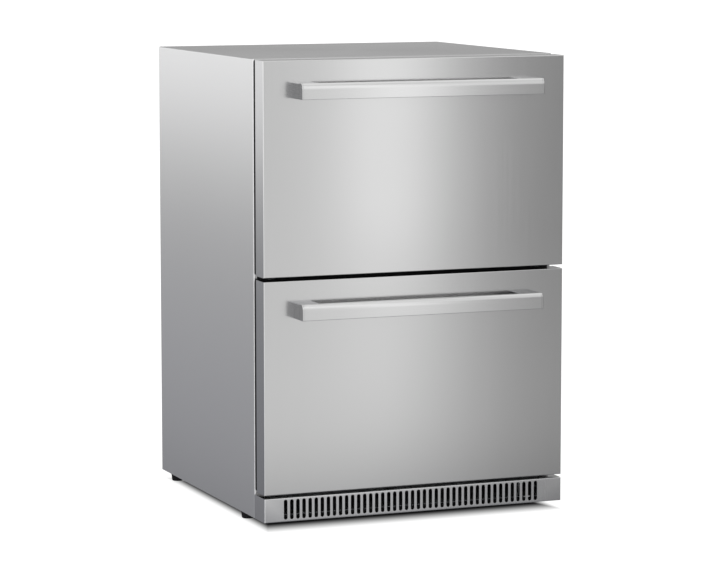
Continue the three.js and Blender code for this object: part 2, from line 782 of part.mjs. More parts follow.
/** One member of a telescopic slide: a web with two lips, opening inwards or outwards. */
const SLIDE_MEMBERS = {
  outer: { web: 0, tip: 9.8, half: SLIDE_HEIGHT / 2 },
  middle: { web: 3, tip: 9.8, half: 17.5 },
  inner: { web: SLIDE_THICKNESS, tip: 5.5, half: 12.5 },
};

function slideMember(name, side, kind, y0, length) {
  const { web, tip, half } = SLIDE_MEMBERS[kind];
  const inward = Math.sign(tip - web);
  const x = (fromWall) => side * (SLIDE_X - fromWall);
  const y = [y0, y0 + length];
  const z = [SLIDE_Z - half, SLIDE_Z + half];
  const channel = shell(
    [[x(web), x(tip)], y, z],
    [
      [x(web + inward * SLIDE_SHEET), x(tip + inward)],
      [y[0] - 1, y[1] + 1],
      [z[0] + SLIDE_SHEET, z[1] - SLIDE_SHEET],
    ],
  );
  const label = side < 0 ? "left" : "right";
  return part(`${name}_slide_${kind}_${label}`, channel, zincSteel);
}

/** Everything that belongs to one drawer, its slides included. */
function drawer(name, z, binDepth, slideLength) {
  const group = new THREE.Group();
  group.add(frontSkin(name), innerPanel(name), frontFoam(name), seal(name));
  group.add(handleBar(name), handlePost(name, -1), handlePost(name, 1));
  group.add(drawerFrame(name, slideLength), bin(name, binDepth));
  for (const side of [-1, 1]) {
    group.add(slideMember(name, side, "outer", Y_FACE + 3, slideLength));
    group.add(slideMember(name, side, "middle", Y_FACE + 2, slideLength));
    group.add(slideMember(name, side, "inner", Y_FACE + 1, slideLength));
  }
  group.position.z = z;
  return group;
}

// ------------------------------------------------------------------- assembly

const fridge = new THREE.Group();
fridge.name = "undercounter_fridge";

fridge.add(
  sidePanel("left_side_panel", -1),
  sidePanel("right_side_panel", 1),
  topPanel(),
  backPanel(),
  basePan(),
  compartmentFloor(),
  innerLiner(),
  cabinetFoam(),
  centreMullion(),
  kickGrille(),
  machineCover(),
  cordGland(),
);

for (const [end, y] of Object.entries(FOOT_Y)) {
  fridge.add(levellingFoot(`foot_${end}_left`, -FOOT_X, y));
  fridge.add(levellingFoot(`foot_${end}_right`, FOOT_X, y));
}

fridge.add(
  compressor(),
  condenserCoil(),
  drainTray(),
  condenserFan(),
  evaporatorCover(),
  evaporatorCoil(),
  evaporatorFan(),
);

fridge.add(
  controlHousing(),
  displayLens(),
  controlButton("set_button", -CONTROL.buttonX),
  controlButton("lamp_button", CONTROL.buttonX),
  lampLens(),
);

fridge.add(drawer("upper", UPPER_Z, 398, 400));
fridge.add(drawer("lower", LOWER_Z, 268, 300));

export default fridge;
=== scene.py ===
from math import cos, pi, radians, sin, tan

import bmesh
import bpy
from mathutils import Matrix, Vector


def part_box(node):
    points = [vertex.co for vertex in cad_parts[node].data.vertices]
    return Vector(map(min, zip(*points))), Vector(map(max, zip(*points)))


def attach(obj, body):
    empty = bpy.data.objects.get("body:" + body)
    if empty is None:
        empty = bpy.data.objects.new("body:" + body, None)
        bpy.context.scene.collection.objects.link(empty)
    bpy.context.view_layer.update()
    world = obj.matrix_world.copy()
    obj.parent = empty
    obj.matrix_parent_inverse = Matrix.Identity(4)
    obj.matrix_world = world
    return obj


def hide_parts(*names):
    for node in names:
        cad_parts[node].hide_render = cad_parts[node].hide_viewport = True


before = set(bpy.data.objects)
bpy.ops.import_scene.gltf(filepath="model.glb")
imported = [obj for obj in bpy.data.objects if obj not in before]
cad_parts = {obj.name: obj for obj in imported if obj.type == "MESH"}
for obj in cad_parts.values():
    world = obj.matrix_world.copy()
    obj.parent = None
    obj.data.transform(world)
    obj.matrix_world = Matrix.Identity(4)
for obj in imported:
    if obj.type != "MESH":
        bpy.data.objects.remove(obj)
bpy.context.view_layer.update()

MM = 0.001

# Sheets, folds and clearances
SHEET = 1.0
FOLDED_SHEET = 1.2
GAP = 0.3
CASING_FOLD = 2.6
FRONT_FOLD = 1.5
HAIR = 0.15  # how far pieces stand apart at a fine seam
CRISP = 0.12  # the rounding of a sheet's cut edge
SIDES = ((-1, "left"), (1, "right"))

# Which solid axes an outline's u and v run along, for each direction of extrusion
PLANES = {"x": (1, 2, 0), "y": (0, 2, 1), "z": (0, 1, 2)}
QUARTER = [pi / 2 * k / 5 for k in range(6)]


def turns(count):
    """Even angles round a full turn."""
    return [2 * pi * k / count for k in range(count)]


def box_of(node):
    """The box of a CAD node, in millimetres."""
    return [Vector(corner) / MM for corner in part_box(node)]


def new_object(name, data):
    obj = bpy.data.objects.new(name, data)
    bpy.context.scene.collection.objects.link(obj)
    return obj


# ---- materials


def fill(node, **values):
    """Sets a node's inputs by their names."""
    for key, value in values.items():
        node.inputs[key.replace("_", " ")].default_value = value


class Nodes:
    """A node tree, with short ways to add and link nodes."""

    def __init__(self, owner):
        owner.use_nodes = True
        self.tree = owner.node_tree
        self.tree.nodes.clear()

    def link(self, source, target):
        self.tree.links.new(source, target)

    def add(self, kind, *sources, **settings):
        """A new node. The sources go to its first inputs."""
        node = self.tree.nodes.new(kind)
        for key, value in settings.items():
            setattr(node, key, value)
        for source, target in zip(sources, node.inputs):
            self.link(source, target)
        return node

    def split(self, source):
        return self.add("ShaderNodeSeparateXYZ", source).outputs

    def total(self, first, second, operation="ADD"):
        return self.add("ShaderNodeMath", first, second, operation=operation).outputs[0]

    def vector(self, operation, source, other=(0, 0, 0)):
        node = self.add("ShaderNodeVectorMath", source, operation=operation)
        node.inputs[1].default_value = other
        return node.outputs

    def span(self, source, low, high, start=0.3, end=0.7, **settings):
        """The source, from start to end, as a value from low to high."""
        node = self.add("ShaderNodeMapRange", source, **settings)
        fill(node, From_Min=start, From_Max=end, To_Min=low, To_Max=high)
        return node.outputs[0]

    def ramp(self, source, *stops):
        """Greys along the source. A stop is a place, a grey and, if it is bluish, how much."""
        node = self.add("ShaderNodeValToRGB", source)
        elements = node.color_ramp.elements
        while len(elements) > 1:
            elements.remove(elements[-1])
        for i, (place, grey, *tint) in enumerate(stops):
            blue = tint[0] if tint else 0.0
            element = elements.new(place) if i else elements[0]
            element.position = place
            element.color = (grey * (1 - blue), grey * (1 - 0.7 * blue), grey * (1 + blue), 1)
        return node.outputs[0]

    def combine(self, operation, first, second):
        """Two colours added or multiplied."""
        node = self.add("ShaderNodeMix", data_type="RGBA", blend_type=operation)
        node.inputs[0].default_value = 1.0
        self.link(first, node.inputs[6])
        self.link(second, node.inputs[7])
        return node.outputs[2]


class Paint(Nodes):
    """A material with one Principled shader and procedural textures."""

    def __init__(self, name):
        self.material = bpy.data.materials.new(name)
        super().__init__(self.material)
        self.shader = self.add("ShaderNodeBsdfPrincipled")
        self.add("ShaderNodeOutputMaterial", self.shader.outputs[0])

    def drive(self, **sources):
        """Links sources to the shader's inputs by their names."""
        for key, source in sources.items():
            self.link(source, self.shader.inputs[key.replace("_", " ")])

    def place(self, scale=(1, 1, 1)):
        """Coordinates in the object's own frame, stretched."""
        mapping = self.add("ShaderNodeMapping", self.add("ShaderNodeTexCoord").outputs["Object"])
        fill(mapping, Scale=scale)
        return mapping.outputs[0]

    def noise(self, scale, detail=3.0, stretch=(1, 1, 1)):
        node = self.add("ShaderNodeTexNoise", self.place(stretch))
        fill(node, Scale=scale, Detail=detail)
        return node.outputs["Fac"]

    def blend(self, factor, first, second):
        """A colour from first to second, by the factor. Either may be a socket."""
        node = self.add("ShaderNodeMix", factor, data_type="RGBA")
        for target, colour in zip(node.inputs[6:8], (first, second)):
            if isinstance(colour, bpy.types.NodeSocket):
                self.link(colour, target)
            else:
                target.default_value = (*colour, 1)
        return node.outputs[2]

    def bump(self, height, distance, strength):
        """Relief, with its distance in millimetres."""
        node = self.add("ShaderNodeBump")
        fill(node, Strength=strength, Distance=distance * MM)
        self.link(height, node.inputs["Height"])
        self.drive(Normal=node.outputs[0])


GRAIN = {"z": (1, 1, 0.012), "x": (0.012, 1, 1), "y": (1, 0.012, 1)}
PAINTED_SHADE_LOW, PAINTED_SHADE_HIGH = 0.42, 0.70  # heights in metres over which a painted shade darkens a colour towards the bottom


def tinted(colour, factor):
    return [min(1, c * factor) for c in colour]


def steel(name, colour, roughness, grain, relief, tone, low=None):
    """Brushed stainless steel: fine scratches along one axis, with faint smears over them. With low,
    a painted shade darkens the colour to low over the bottom of the piece."""
    n = Paint(name)
    fine = n.noise(1400, 2.0, GRAIN[grain])
    streak = n.noise(220, 3.0, GRAIN[grain])
    smear = n.noise(5.0, 2.0)
    shade = n.total(n.span(fine, -0.5, 0.5), n.span(streak, -0.5, 0.5))
    mixed = n.blend(n.span(shade, 0, 1, -1, 1), tinted(colour, 1 - tone), tinted(colour, 1 + tone))
    # painted shade: the colour darkens to low towards the bottom of the piece, by height
    if low:
        height = n.split(n.place())[2]
        mixed = n.blend(n.span(height, 1, 0, PAINTED_SHADE_LOW, PAINTED_SHADE_HIGH), mixed, low)
    rough = n.total(n.span(shade, -0.015, 0.015, -1, 1), n.span(smear, roughness - 0.008, roughness + 0.008))
    tangent = n.add("ShaderNodeTangent", direction_type="RADIAL", axis="Z").outputs[0]
    n.drive(Base_Color=mixed, Roughness=rough, Tangent=tangent)
    n.bump(n.total(n.span(fine, 0, 0.5, 0, 1), n.span(streak, 0, 0.8, 0, 1)), 0.006, relief)
    fill(n.shader, Metallic=1.0, Anisotropic=0.45, Anisotropic_Rotation=0.25 if grain == "x" else 0.0)
    return n.material


def zinc(name, colour, roughness):
    """Galvanised sheet, with its crystal pattern."""
    n = Paint(name)
    cells = n.add("ShaderNodeTexVoronoi", n.place(), feature="F1")
    fill(cells, Scale=90)
    shade = n.add("ShaderNodeSeparateColor", cells.outputs["Color"]).outputs
    n.drive(
        Base_Color=n.blend(shade[0], tinted(colour, 0.86), colour),
        Roughness=n.span(shade[1], roughness - 0.07, roughness + 0.07, 0, 1),
    )
    n.bump(n.noise(600), 0.02, 0.4)
    fill(n.shader, Metallic=1.0)
    return n.material


def moulded(name, colour, roughness, grain=900, relief=0.04, coat=0.0, gloss=0.5):
    """Moulded plastic or rubber: a fine skin texture and faint uneven colour."""
    n = Paint(name)
    skin = n.noise(grain, 2.0)
    n.drive(
        Base_Color=n.blend(n.span(n.noise(9), 0, 1), tinted(colour, 0.93), tinted(colour, 1.05)),
        Roughness=n.span(skin, roughness - 0.05, roughness + 0.05),
    )
    n.bump(skin, relief, 0.5)
    fill(n.shader, Coat_Weight=coat, Specular_IOR_Level=gloss)
    return n.material


def enamel(name, colour, roughness):
    """Sprayed enamel on metal, with slight orange peel."""
    n = Paint(name)
    dust = n.noise(14, 4.0)
    n.drive(
        Base_Color=n.blend(n.span(dust, 0, 1, 0.4, 0.8), colour, [c * 1.6 + 0.004 for c in colour]),
        Roughness=n.span(dust, roughness - 0.06, roughness + 0.1),
    )
    n.bump(n.noise(260, 2.0), 0.05, 0.5)
    fill(n.shader, Metallic=0.2, Coat_Weight=0.3)
    return n.material


def glowing(name, colour, strength):
    n = Paint(name)
    n.drive(Base_Color=n.blend(n.span(n.noise(60), 0, 1), tinted(colour, 0.9), colour))
    fill(n.shader, Roughness=0.35, Emission_Color=(*colour, 1), Emission_Strength=strength)
    return n.material


front_steel = steel("front_steel", (0.76,) * 3, 0.17, "z", 0.2, 0.012)
# painted shade: a darker copy of the front steel, which darkens further towards the bottom
painted_shade_edge_steel = steel("front_edge_painted_shade_steel", (0.675, 0.675, 0.685), 0.2, "z", 0.2, 0.01, (0.44, 0.445, 0.46))
# painted shade: a dark copy of the steel for faces in the gaps, where shade falls
painted_shade_gap_steel = steel("shaded_edge_steel", (0.3,) * 3, 0.1, "x", 0.1, 0.02)
side_steel = steel("side_steel", (0.77, 0.77, 0.775), 0.25, "z", 0.15, 0.008)
# painted shade: a darker copy of the casing steel for upward faces, with its grain across
painted_shade_top_steel = steel("painted_shade_top_steel", (0.605,) * 3, 0.25, "x", 0.15, 0.01)
# painted light: a brighter copy of the handle steel for the bar's back
painted_light_handle_back_steel = steel("painted_light_handle_back_steel", (0.96,) * 3, 0.22, "x", 0.2, 0.01)
handle_steel = steel("handle_steel", (0.8,) * 3, 0.22, "x", 0.2, 0.012)
# painted shade: a near-black copy of the steel for the handle's end faces and posts
painted_shade_post_steel = steel("handle_end_painted_shade_steel", (0.195, 0.195, 0.2), 0.28, "y", 0.3, 0.03)
grille_steel = steel("grille_steel", (0.77, 0.77, 0.775), 0.26, "z", 0.2, 0.012)
# painted shade: a darker copy of the grille steel for its ends
painted_shade_grille_end_steel = steel("painted_shade_grille_end_steel", (0.56, 0.56, 0.57), 0.22, "z", 0.2, 0.012)
bin_steel = steel("bin_steel", (0.72,) * 3, 0.26, "x", 0.25, 0.02)
zinc_sheet = zinc("zinc_sheet", (0.62, 0.64, 0.66), 0.36)
slide_zinc = zinc("slide_zinc", (0.7, 0.72, 0.74), 0.26)
bright_metal = steel("bright_metal", (0.75, 0.75, 0.76), 0.2, "z", 0.2, 0.02)
copper = steel("copper", (0.8, 0.42, 0.26), 0.28, "z", 0.2, 0.05)
fin_metal = steel("fin_metal", (0.78, 0.79, 0.8), 0.35, "y", 0.2, 0.03)
black_enamel = enamel("black_enamel", (0.012, 0.012, 0.013), 0.38)
liner_white = moulded("liner_white", (0.7, 0.71, 0.715), 0.32, 500, 0.02, 0.15)
black_plastic = moulded("black_plastic", (0.014, 0.014, 0.016), 0.5, gloss=0.3)
grey_plastic = moulded("grey_plastic", (0.22, 0.225, 0.235), 0.45)
seal_rubber = moulded("seal_rubber", (0.01, 0.01, 0.011), 0.75, 1200, 0.03, gloss=0.08)
# painted shade: a near-black lining that stands in for the shade behind the grille's slots
painted_shade_slot_lining = moulded("painted_shade_slot_lining", (0.006,) * 3, 0.8, 300, 0.1, 0.04)
foam_yellow = moulded("foam_yellow", (0.62, 0.5, 0.22), 0.9, 300, 0.4)
dark_glass = moulded("dark_glass", (0.006, 0.007, 0.009), 0.08, 60, 0.002, 0.6)
lamp_white = glowing("lamp_white", (0.9, 0.92, 0.9), 0.25)


# ---- outline shapes


def rectangle(u0, u1, v0, v1, radius=0.0, steps=6):
    """A rectangle's outline, anticlockwise, with round corners."""
    if radius <= 0:
        return [(u0, v0), (u1, v0), (u1, v1), (u0, v1)]
    left, right, bottom, top = u0 + radius, u1 - radius, v0 + radius, v1 - radius
    points = []
    for quarter, (u, v) in enumerate(((right, top), (left, top), (left, bottom), (right, bottom))):
        for i in range(steps + 1):
            angle = pi / 2 * (quarter + i / steps)
            points.append((u + radius * cos(angle), v + radius * sin(angle)))
    return points


def circle(u, v, radius, sides):
    return [(u + radius * cos(a), v + radius * sin(a)) for a in turns(sides)]


def rounded(points, steps=6):
    """An outline whose corners are arcs where a point carries a radius."""
    made = []
    for i, (u, v, *rest) in enumerate(points):
        radius = rest[0] if rest else 0
        if radius <= 0:
            made.append((u, v))
            continue
        corner = Vector((u, v))
        before = (Vector(points[i - 1][:2]) - corner).normalized()
        after = (Vector(points[(i + 1) % len(points)][:2]) - corner).normalized()
        half = before.angle(after) / 2
        reach = radius / tan(half)
        centre = corner + (before + after).normalized() * (radius / sin(half))
        start, end = corner + before * reach - centre, corner + after * reach - centre
        sweep = start.angle_signed(end)
        for k in range(steps + 1):
            turned_by = Matrix.Rotation(-sweep * k / steps, 2)
            made.append(tuple(centre + turned_by @ start))
    return made


def bent(points, thickness, side):
    """The outline of a sheet bent along an open path, lying to its left, or to its right for side -1."""
    path = [Vector(p) for p in rounded(points, 4)]
    offset = []
    for i, p in enumerate(path):
        before = (p - path[i - 1]).normalized() if i else (path[1] - p).normalized()
        after = (path[i + 1] - p).normalized() if i + 1 < len(path) else before
        along = (before + after).normalized()
        across = Vector((-along.y, along.x)) * side
        offset.append(p + across * (thickness / max(along.dot(before), 0.3)))
    return [tuple(p) for p in path] + [tuple(p) for p in reversed(offset)]


def spread(count, pitch):
    """Even places on both sides of 0."""
    return [(i - (count - 1) / 2) * pitch for i in range(count)]


# ---- mesh builder


class Shape:
    """Solids gathered into one piece. Each solid may have its own material."""

    def __init__(self, name, material):
        self.name = name
        self.bm = bmesh.new()
        self.materials = [material]

    def paint_where(self, test, material):
        self.bm.normal_update()
        self.paint([f for f in self.bm.faces if test(f.normal)], material)

    def paint(self, faces, material):
        if material not in self.materials:
            self.materials.append(material)
        for face in faces:
            face.material_index = self.materials.index(material)

    def points(self, outline, axis, w):
        iu, iv, iw = PLANES[axis]
        made = []
        for u, v in outline:
            co = [0.0, 0.0, 0.0]
            co[iu], co[iv], co[iw] = u, v, w
            made.append(co)
        return made

    def skin(self, rings, material=None, closed=False):
        """A surface through rings that all have the same number of points."""
        loops = [[self.bm.verts.new(p) for p in ring] for ring in rings]
        pairs = list(zip(loops, loops[1:]))
        if closed:
            pairs.append((loops[-1], loops[0]))
        faces = []
        for low, high in pairs:
            for i in range(len(low)):
                j = (i + 1) % len(low)
                faces.append(self.bm.faces.new((low[i], low[j], high[j], high[i])))
        if not closed:
            faces += [self.bm.faces.new(loops[0][::-1]), self.bm.faces.new(loops[-1])]
        bmesh.ops.recalc_face_normals(self.bm, faces=faces)
        if material:
            self.paint(faces, material)

    def prism(self, outline, axis, w0, w1, material=None):
        self.skin([self.points(outline, axis, w) for w in (w0, w1)], material)

    def box(self, low, high, material=None):
        self.prism(rectangle(low[0], high[0], low[1], high[1]), "z", low[2], high[2], material)

    def turned(self, profile, base, axis="z", sides=40, material=None):
        """A closed body of [radius, height] points, turned about an axis through base."""
        iu, iv, iw = PLANES[axis]
        rings = []
        for radius, height in profile:
            outline = circle(base[iu], base[iv], max(radius, 1e-3), sides)
            rings.append(self.points(outline, axis, base[iw] + height))
        self.skin(rings, material)

    def tube(self, points, radius, sides):
        """A round tube along a path, smoothed at its corners."""
        path = [Vector(p) for p in points]
        for _ in range(2):
            cut = [path[0]]
            for a, b in zip(path, path[1:]):
                cut += [a.lerp(b, 0.25), a.lerp(b, 0.75)]
            path = cut + [path[-1]]
        rings = []
        side = None
        for i, p in enumerate(path):
            along = (path[min(i + 1, len(path) - 1)] - path[max(i - 1, 0)]).normalized()
            if side is None:
                side = along.orthogonal().normalized()
            side = (side - along * side.dot(along)).normalized()
            up = along.cross(side)
            rings.append([p + side * (radius * cos(a)) + up * (radius * sin(a)) for a in turns(sides)])
        self.skin(rings)

    def stack(self, axis, u0, u1, v0, v1, levels, steps=6, closed=False):
        """A solid through rectangles. A level is an inset, a corner radius and a place along the axis."""
        outlines = [(rectangle(u0 + d, u1 - d, v0 + d, v1 - d, r, steps), w) for d, r, w in levels]
        self.skin([self.points(outline, axis, w) for outline, w in outlines], closed=closed)

    def ring_frame(self, section, u0, u1, v0, v1, axis, radius):
        """A closed section of [inset, w] points, swept round a rectangle with round corners."""
        levels = [(inset, max(radius - inset, 0.2), w) for inset, w in section]
        self.stack(axis, u0, u1, v0, v1, levels, closed=True)

    def pierce(self, face, loops):
        """Replaces a flat face that looks along Y by one with holes."""
        w = face.verts[0].co.y
        edges = list(face.edges)
        index = face.material_index
        normal = face.normal.copy()
        bmesh.ops.delete(self.bm, geom=[face], context="FACES_ONLY")
        for loop in loops:
            verts = [self.bm.verts.new(p) for p in self.points(loop, "y", w)]
            edges += [self.bm.edges.new((verts[i - 1], verts[i])) for i in range(len(verts))]
        made = bmesh.ops.triangle_fill(self.bm, use_beauty=True, use_dissolve=False, edges=edges)
        faces = [g for g in made["geom"] if isinstance(g, bmesh.types.BMFace)]
        for f in faces:
            f.normal_update()
            if f.normal.dot(normal) < 0:
                f.normal_flip()
            f.material_index = index

    def facing(self, axis, sign):
        """The largest flat face that looks along an axis."""
        self.bm.normal_update()
        iw = PLANES[axis][2]
        found = [f for f in self.bm.faces if f.normal[iw] * sign > 0.999]
        return max(found, key=lambda f: f.calc_area())

    def round_edges(self, width, segments, keep):
        edges = [e for e in self.bm.edges if len(e.link_faces) == 2 and e.calc_face_angle() > 0.6 and keep(e)]
        bmesh.ops.bevel(
            self.bm, geom=edges, offset=width, offset_type="OFFSET", segments=segments, profile=0.5,
            affect="EDGES", clamp_overlap=True,
        )

    def done(self, body, *nodes, bevel=0.0, segments=2, sheet=0.0, lining=None):
        """Makes the object, rounds its hard edges and gives it to a body. The thickness of an open
        sheet lies behind its faces, or in front of them if it is negative; a lining paints its back."""
        mesh = bpy.data.meshes.new(self.name)
        bmesh.ops.recalc_face_normals(self.bm, faces=list(self.bm.faces))
        bmesh.ops.scale(self.bm, vec=(MM, MM, MM), verts=list(self.bm.verts))
        self.bm.to_mesh(mesh)
        self.bm.free()
        mesh.polygons.foreach_set("use_smooth", [True] * len(mesh.polygons))
        for material in self.materials:
            mesh.materials.append(material)
        obj = new_object(self.name, mesh)
        if sheet:
            behind = -1 if sheet > 0 else 1
            solid = modify(obj, "SOLIDIFY", thickness=abs(sheet) * MM, offset=behind)
            if lining:
                solid.material_offset = len(self.materials)
                for _ in self.materials:
                    mesh.materials.append(lining)
        if bevel > 0:
            round_off(obj, bevel, segments)
        # keeps the shading of flat faces flat next to their rounded edges
        modify(obj, "WEIGHTED_NORMAL", mode="FACE_AREA", weight=100)
        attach(obj, body)
        if nodes:
            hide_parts(*nodes)


def modify(obj, kind, **settings):
    modifier = obj.modifiers.new(kind, kind)
    for key, value in settings.items():
        setattr(modifier, key, value)
    return modifier


def round_off(obj, width, segments=2):
    modify(
        obj, "BEVEL", width=width * MM, segments=segments, limit_method="ANGLE", angle_limit=radians(32),
        harden_normals=True, use_clamp_overlap=True,
    )


def dress(node, material, bevel=0.0):
    """A CAD node shown as it is, with a better material."""
    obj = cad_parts[node]
    obj.data.materials.clear()
    obj.data.materials.append(material)
    if bevel > 0:
        round_off(obj, bevel)


def screw(shape, centre, axis, sign, radius):
    """A pan-head screw with a cross recess, its head standing off along the axis."""
    iu, iv, iw = PLANES[axis]
    height = 1.9 * sign
    profile = [(radius, 0), (radius, height * 0.35), (radius * 0.86, height * 0.72), (radius * 0.55, height)]
    shape.turned([(0, 0), *profile, (0, height * 1.02)], centre, axis, 24, bright_metal)
    bottom, top = sorted((centre[iw] + height * 0.9, centre[iw] + height * 1.06))
    u, v, long, short = centre[iu], centre[iv], radius * 0.5, radius * 0.12
    for across, up in ((short, long), (long, short)):
        shape.prism(rectangle(u - across, u + across, v - up, v + up), axis, bottom, top, black_plastic)


# ---- the casing


def folded_section(front, back, front_flange, back_flange):
    """The sheet's outline seen from above, as [distance in from the outer face, y] points."""
    r, bend = CASING_FOLD, CASING_FOLD - SHEET
    outer = [(front_flange, front)]
    outer += [(r - r * sin(a), front + r - r * cos(a)) for a in QUARTER]
    outer += [(r - r * cos(a), back - r + r * sin(a)) for a in QUARTER]
    outer += [(back_flange, back), (back_flange, back - SHEET)]
    inner = [(r - bend * sin(a), back - r + bend * cos(a)) for a in QUARTER]
    inner += [(r - bend * cos(a), front + r - bend * sin(a)) for a in QUARTER]
    return [*outer, *inner, (front_flange, front + SHEET)]


def casing():
    """The folded side and top sheets, which meet at fine seams near the top corners."""
    low, _ = box_of("left_side_panel")
    _, high = box_of("right_side_panel")
    section = folded_section(low.y, high.y, 22, 16)
    seam = 3.2
    for side, name in SIDES:
        rings = []
        for d, y in section:
            bend = max(CASING_FOLD - d, 0.02)
            x, z = high.x - d - bend, high.z - d - bend
            path = [(high.x - d, low.z)]
            path += [(x + bend * cos(a), z + bend * sin(a)) for a in QUARTER]
            path.append((min(high.x - seam, x), high.z - d))
            rings.append([(side * u, y, v) for u, v in path])
        shape = Shape(f"{name}_side_skin", side_steel)
        shape.skin(list(zip(*rings)))
        x = sorted((side * (high.x - 0.5), side * (high.x - 38)))
        shape.box((x[0], low.y + 1, low.z), (x[1], high.y - 1, low.z + SHEET))
        shape.done("cabinet", f"{name}_side_panel", bevel=CRISP, segments=1)
    reach = high.x - seam - HAIR
    rings = [[(side * min(reach, high.x - d), y, high.z - d) for d, y in section] for side in (-1, 1)]
    # painted shade: the top sheet takes the darker top steel
    shape = Shape("top_skin", painted_shade_top_steel)
    shape.skin(rings)
    shape.done("cabinet", "top_panel", bevel=CRISP, segments=1)


def back_sheet():
    """The flat back, stiffened by two raised fields, with screws along its edges."""
    low, high = box_of("back_panel")
    shape = Shape("back_sheet", zinc_sheet)
    middle = (low.z + high.z) / 2
    for z0, z1 in ((low.z + 36, middle - 14), (middle + 14, high.z - 36)):
        raised = [(inset, 14, high.y + rise) for inset, rise in ((0, -0.1), (0.6, 0.5), (1.6, 0.9))]
        shape.stack("y", low.x + 40, high.x - 40, z0, z1, raised)
    shape.box(low, high)
    shape.done("cabinet", "back_panel")
    rim = box_of("right_side_panel")[1].y
    screws = Shape("back_screws", bright_metal)
    for side in (-1, 1):
        for dz in spread(6, 118):
            screw(screws, (side * (high.x - 6.5), rim - 0.05, middle + dz), "y", 1, 3.4)
    for x in spread(5, 118):
        screw(screws, (x, rim - 0.05, high.z - 6.5), "y", 1, 3.4)
    screws.done("cabinet")


# ---- air grille


def open_box(name, material, low, high, fold, rim=0):
    """A sheet box, round along the edges of its front and open at its back, but for a rim."""
    shape = Shape(name, material)
    shape.box(low, high)
    shape.round_edges(fold, 4, lambda e: max(v.co.y for v in e.verts) < low.y + 1)
    if rim:
        bmesh.ops.inset_individual(shape.bm, faces=[shape.facing("y", 1)], thickness=rim)
    bmesh.ops.delete(shape.bm, geom=[shape.facing("y", 1)], context="FACES")
    return shape


def kick_grille():
    """The folded sheet below the drawers, with a row of upright slots. Its top, its ends and its back carry
    painted shade.
    """
    low, high = box_of("kick_grille")
    back = box_of("left_side_panel")[0].y - GAP
    shape = open_box("base_grille", grille_steel, low, (high.x, back, high.z), 1.8)
    pitch, first, count, width = 12, 41, 43, 7
    bottom, top = low.z + 4.2, high.z - 3.3
    places = [low.x + first + i * pitch for i in range(count)]
    half = width / 2
    slots = [rectangle(x - half, x + half, bottom, top, half - 1e-3, 8) for x in places]
    shape.pierce(shape.facing("y", -1), slots)
    # painted shade: the grille's top face, in the gap under the lower front, takes the dark steel
    shape.paint([shape.facing("z", 1)], painted_shade_gap_steel)
    # painted shade on the grille's ends
    shape.paint([shape.facing("x", sign) for sign in (-1, 1)], painted_shade_grille_end_steel)
    # painted shade: the back of the sheet takes the near-black lining
    shape.done("cabinet", "kick_grille", bevel=CRISP, segments=1, sheet=FOLDED_SHEET, lining=painted_shade_slot_lining)


# ---- feet


def foot(node):
    """A turned foot with a hexagon at its top and a threaded stud above it."""
    low, high = box_of(node)
    x, y, _ = (low + high) / 2
    top = box_of("left_side_panel")[0].z - GAP
    shape = Shape(node + "_look", seal_rubber)
    pad = [
        (0, 0), (9.6, 0), (10.4, 0.5), (11.0, 2.0), (11.3, 3.4), (11.9, 9.5), (12.2, 10.6), (12.4, 11.6),
        (12.5, 13.2), (12.5, top - 0.5), (12.1, top), (5, top), (0, top),
    ]
    stud = [(0, top), (4, top)]
    threads = 16
    pitch = (high.z - 1.5 - top) / threads
    for i in range(threads):
        z = top + i * pitch
        stud += [(4.0, z + 0.1 * pitch), (3.35, z + 0.6 * pitch), (4.0, z + pitch)]
    stud += [(3.2, high.z - 0.4), (0, high.z)]
    shape.turned(pad, (x, y, 0), sides=48)
    shape.turned(stud, (x, y, 0), sides=24, material=bright_metal)
    shape.prism(circle(x, y, 8.2, 6), "z", top + 1.7, top + 5, bright_metal)
    shape.done(node, node, bevel=0.2)


# ---- drawer fronts


def front_skin(drawer):
    """The folded sheet of a drawer front. Its edges are darker than its face, as in the photo: painted shade.
    Its sides take a darker steel that darkens further towards the bottom, and its tops and bottoms take a
    dark steel.
    """
    low, high = box_of(f"{drawer}_front_skin")
    shape = open_box(f"{drawer}_front_sheet", front_steel, low, high, FRONT_FOLD, rim=9)
    # painted shade on the sides of the front
    shape.paint_where(lambda normal: abs(normal.x) > 0.95, painted_shade_edge_steel)
    # painted shade on the tops and bottoms of the front, in the gaps
    shape.paint_where(lambda normal: abs(normal.z) > 0.95, painted_shade_gap_steel)
    if drawer == "upper":
        # painted shade: the top of the upper front takes the darker top steel
        shape.paint_where(lambda normal: normal.z > 0.95, painted_shade_top_steel)
    shape.done(f"{drawer}_drawer", f"{drawer}_front_skin", bevel=0.15, segments=1, sheet=SHEET)


def inner_panel(drawer):
    """The moulded back of a drawer front: a raised field with a shallow pressed recess."""
    low, high = box_of(f"{drawer}_inner_panel")
    skin_low, skin_high = box_of(f"{drawer}_front_skin")
    plate = skin_high.y
    edge = 9.4
    x = skin_high.x - edge
    z0, z1 = skin_low.z + edge, skin_high.z - edge
    shape = Shape(f"{drawer}_inner_liner", liner_white)
    field = skin_high.x - 255 - edge
    base = low.z + 24 - 1.3 - z0
    shape.stack("y", -x, x, z0, z1, [
        (0, 2, plate - 2), (0, 2, plate - 0.2), (field * 0.4, 6, plate - 0.2), (base, 12, plate),
        (base + 1.5, 12, high.y - 1.5), (base + 3, 12, high.y - 0.2), (base + 5, 12, high.y),
        (base + 38, 16, high.y), (base + 40, 16, high.y - 1.3), (base + 42, 16, high.y - 1.6),
    ], 8)
    shape.done(f"{drawer}_drawer", f"{drawer}_inner_panel")


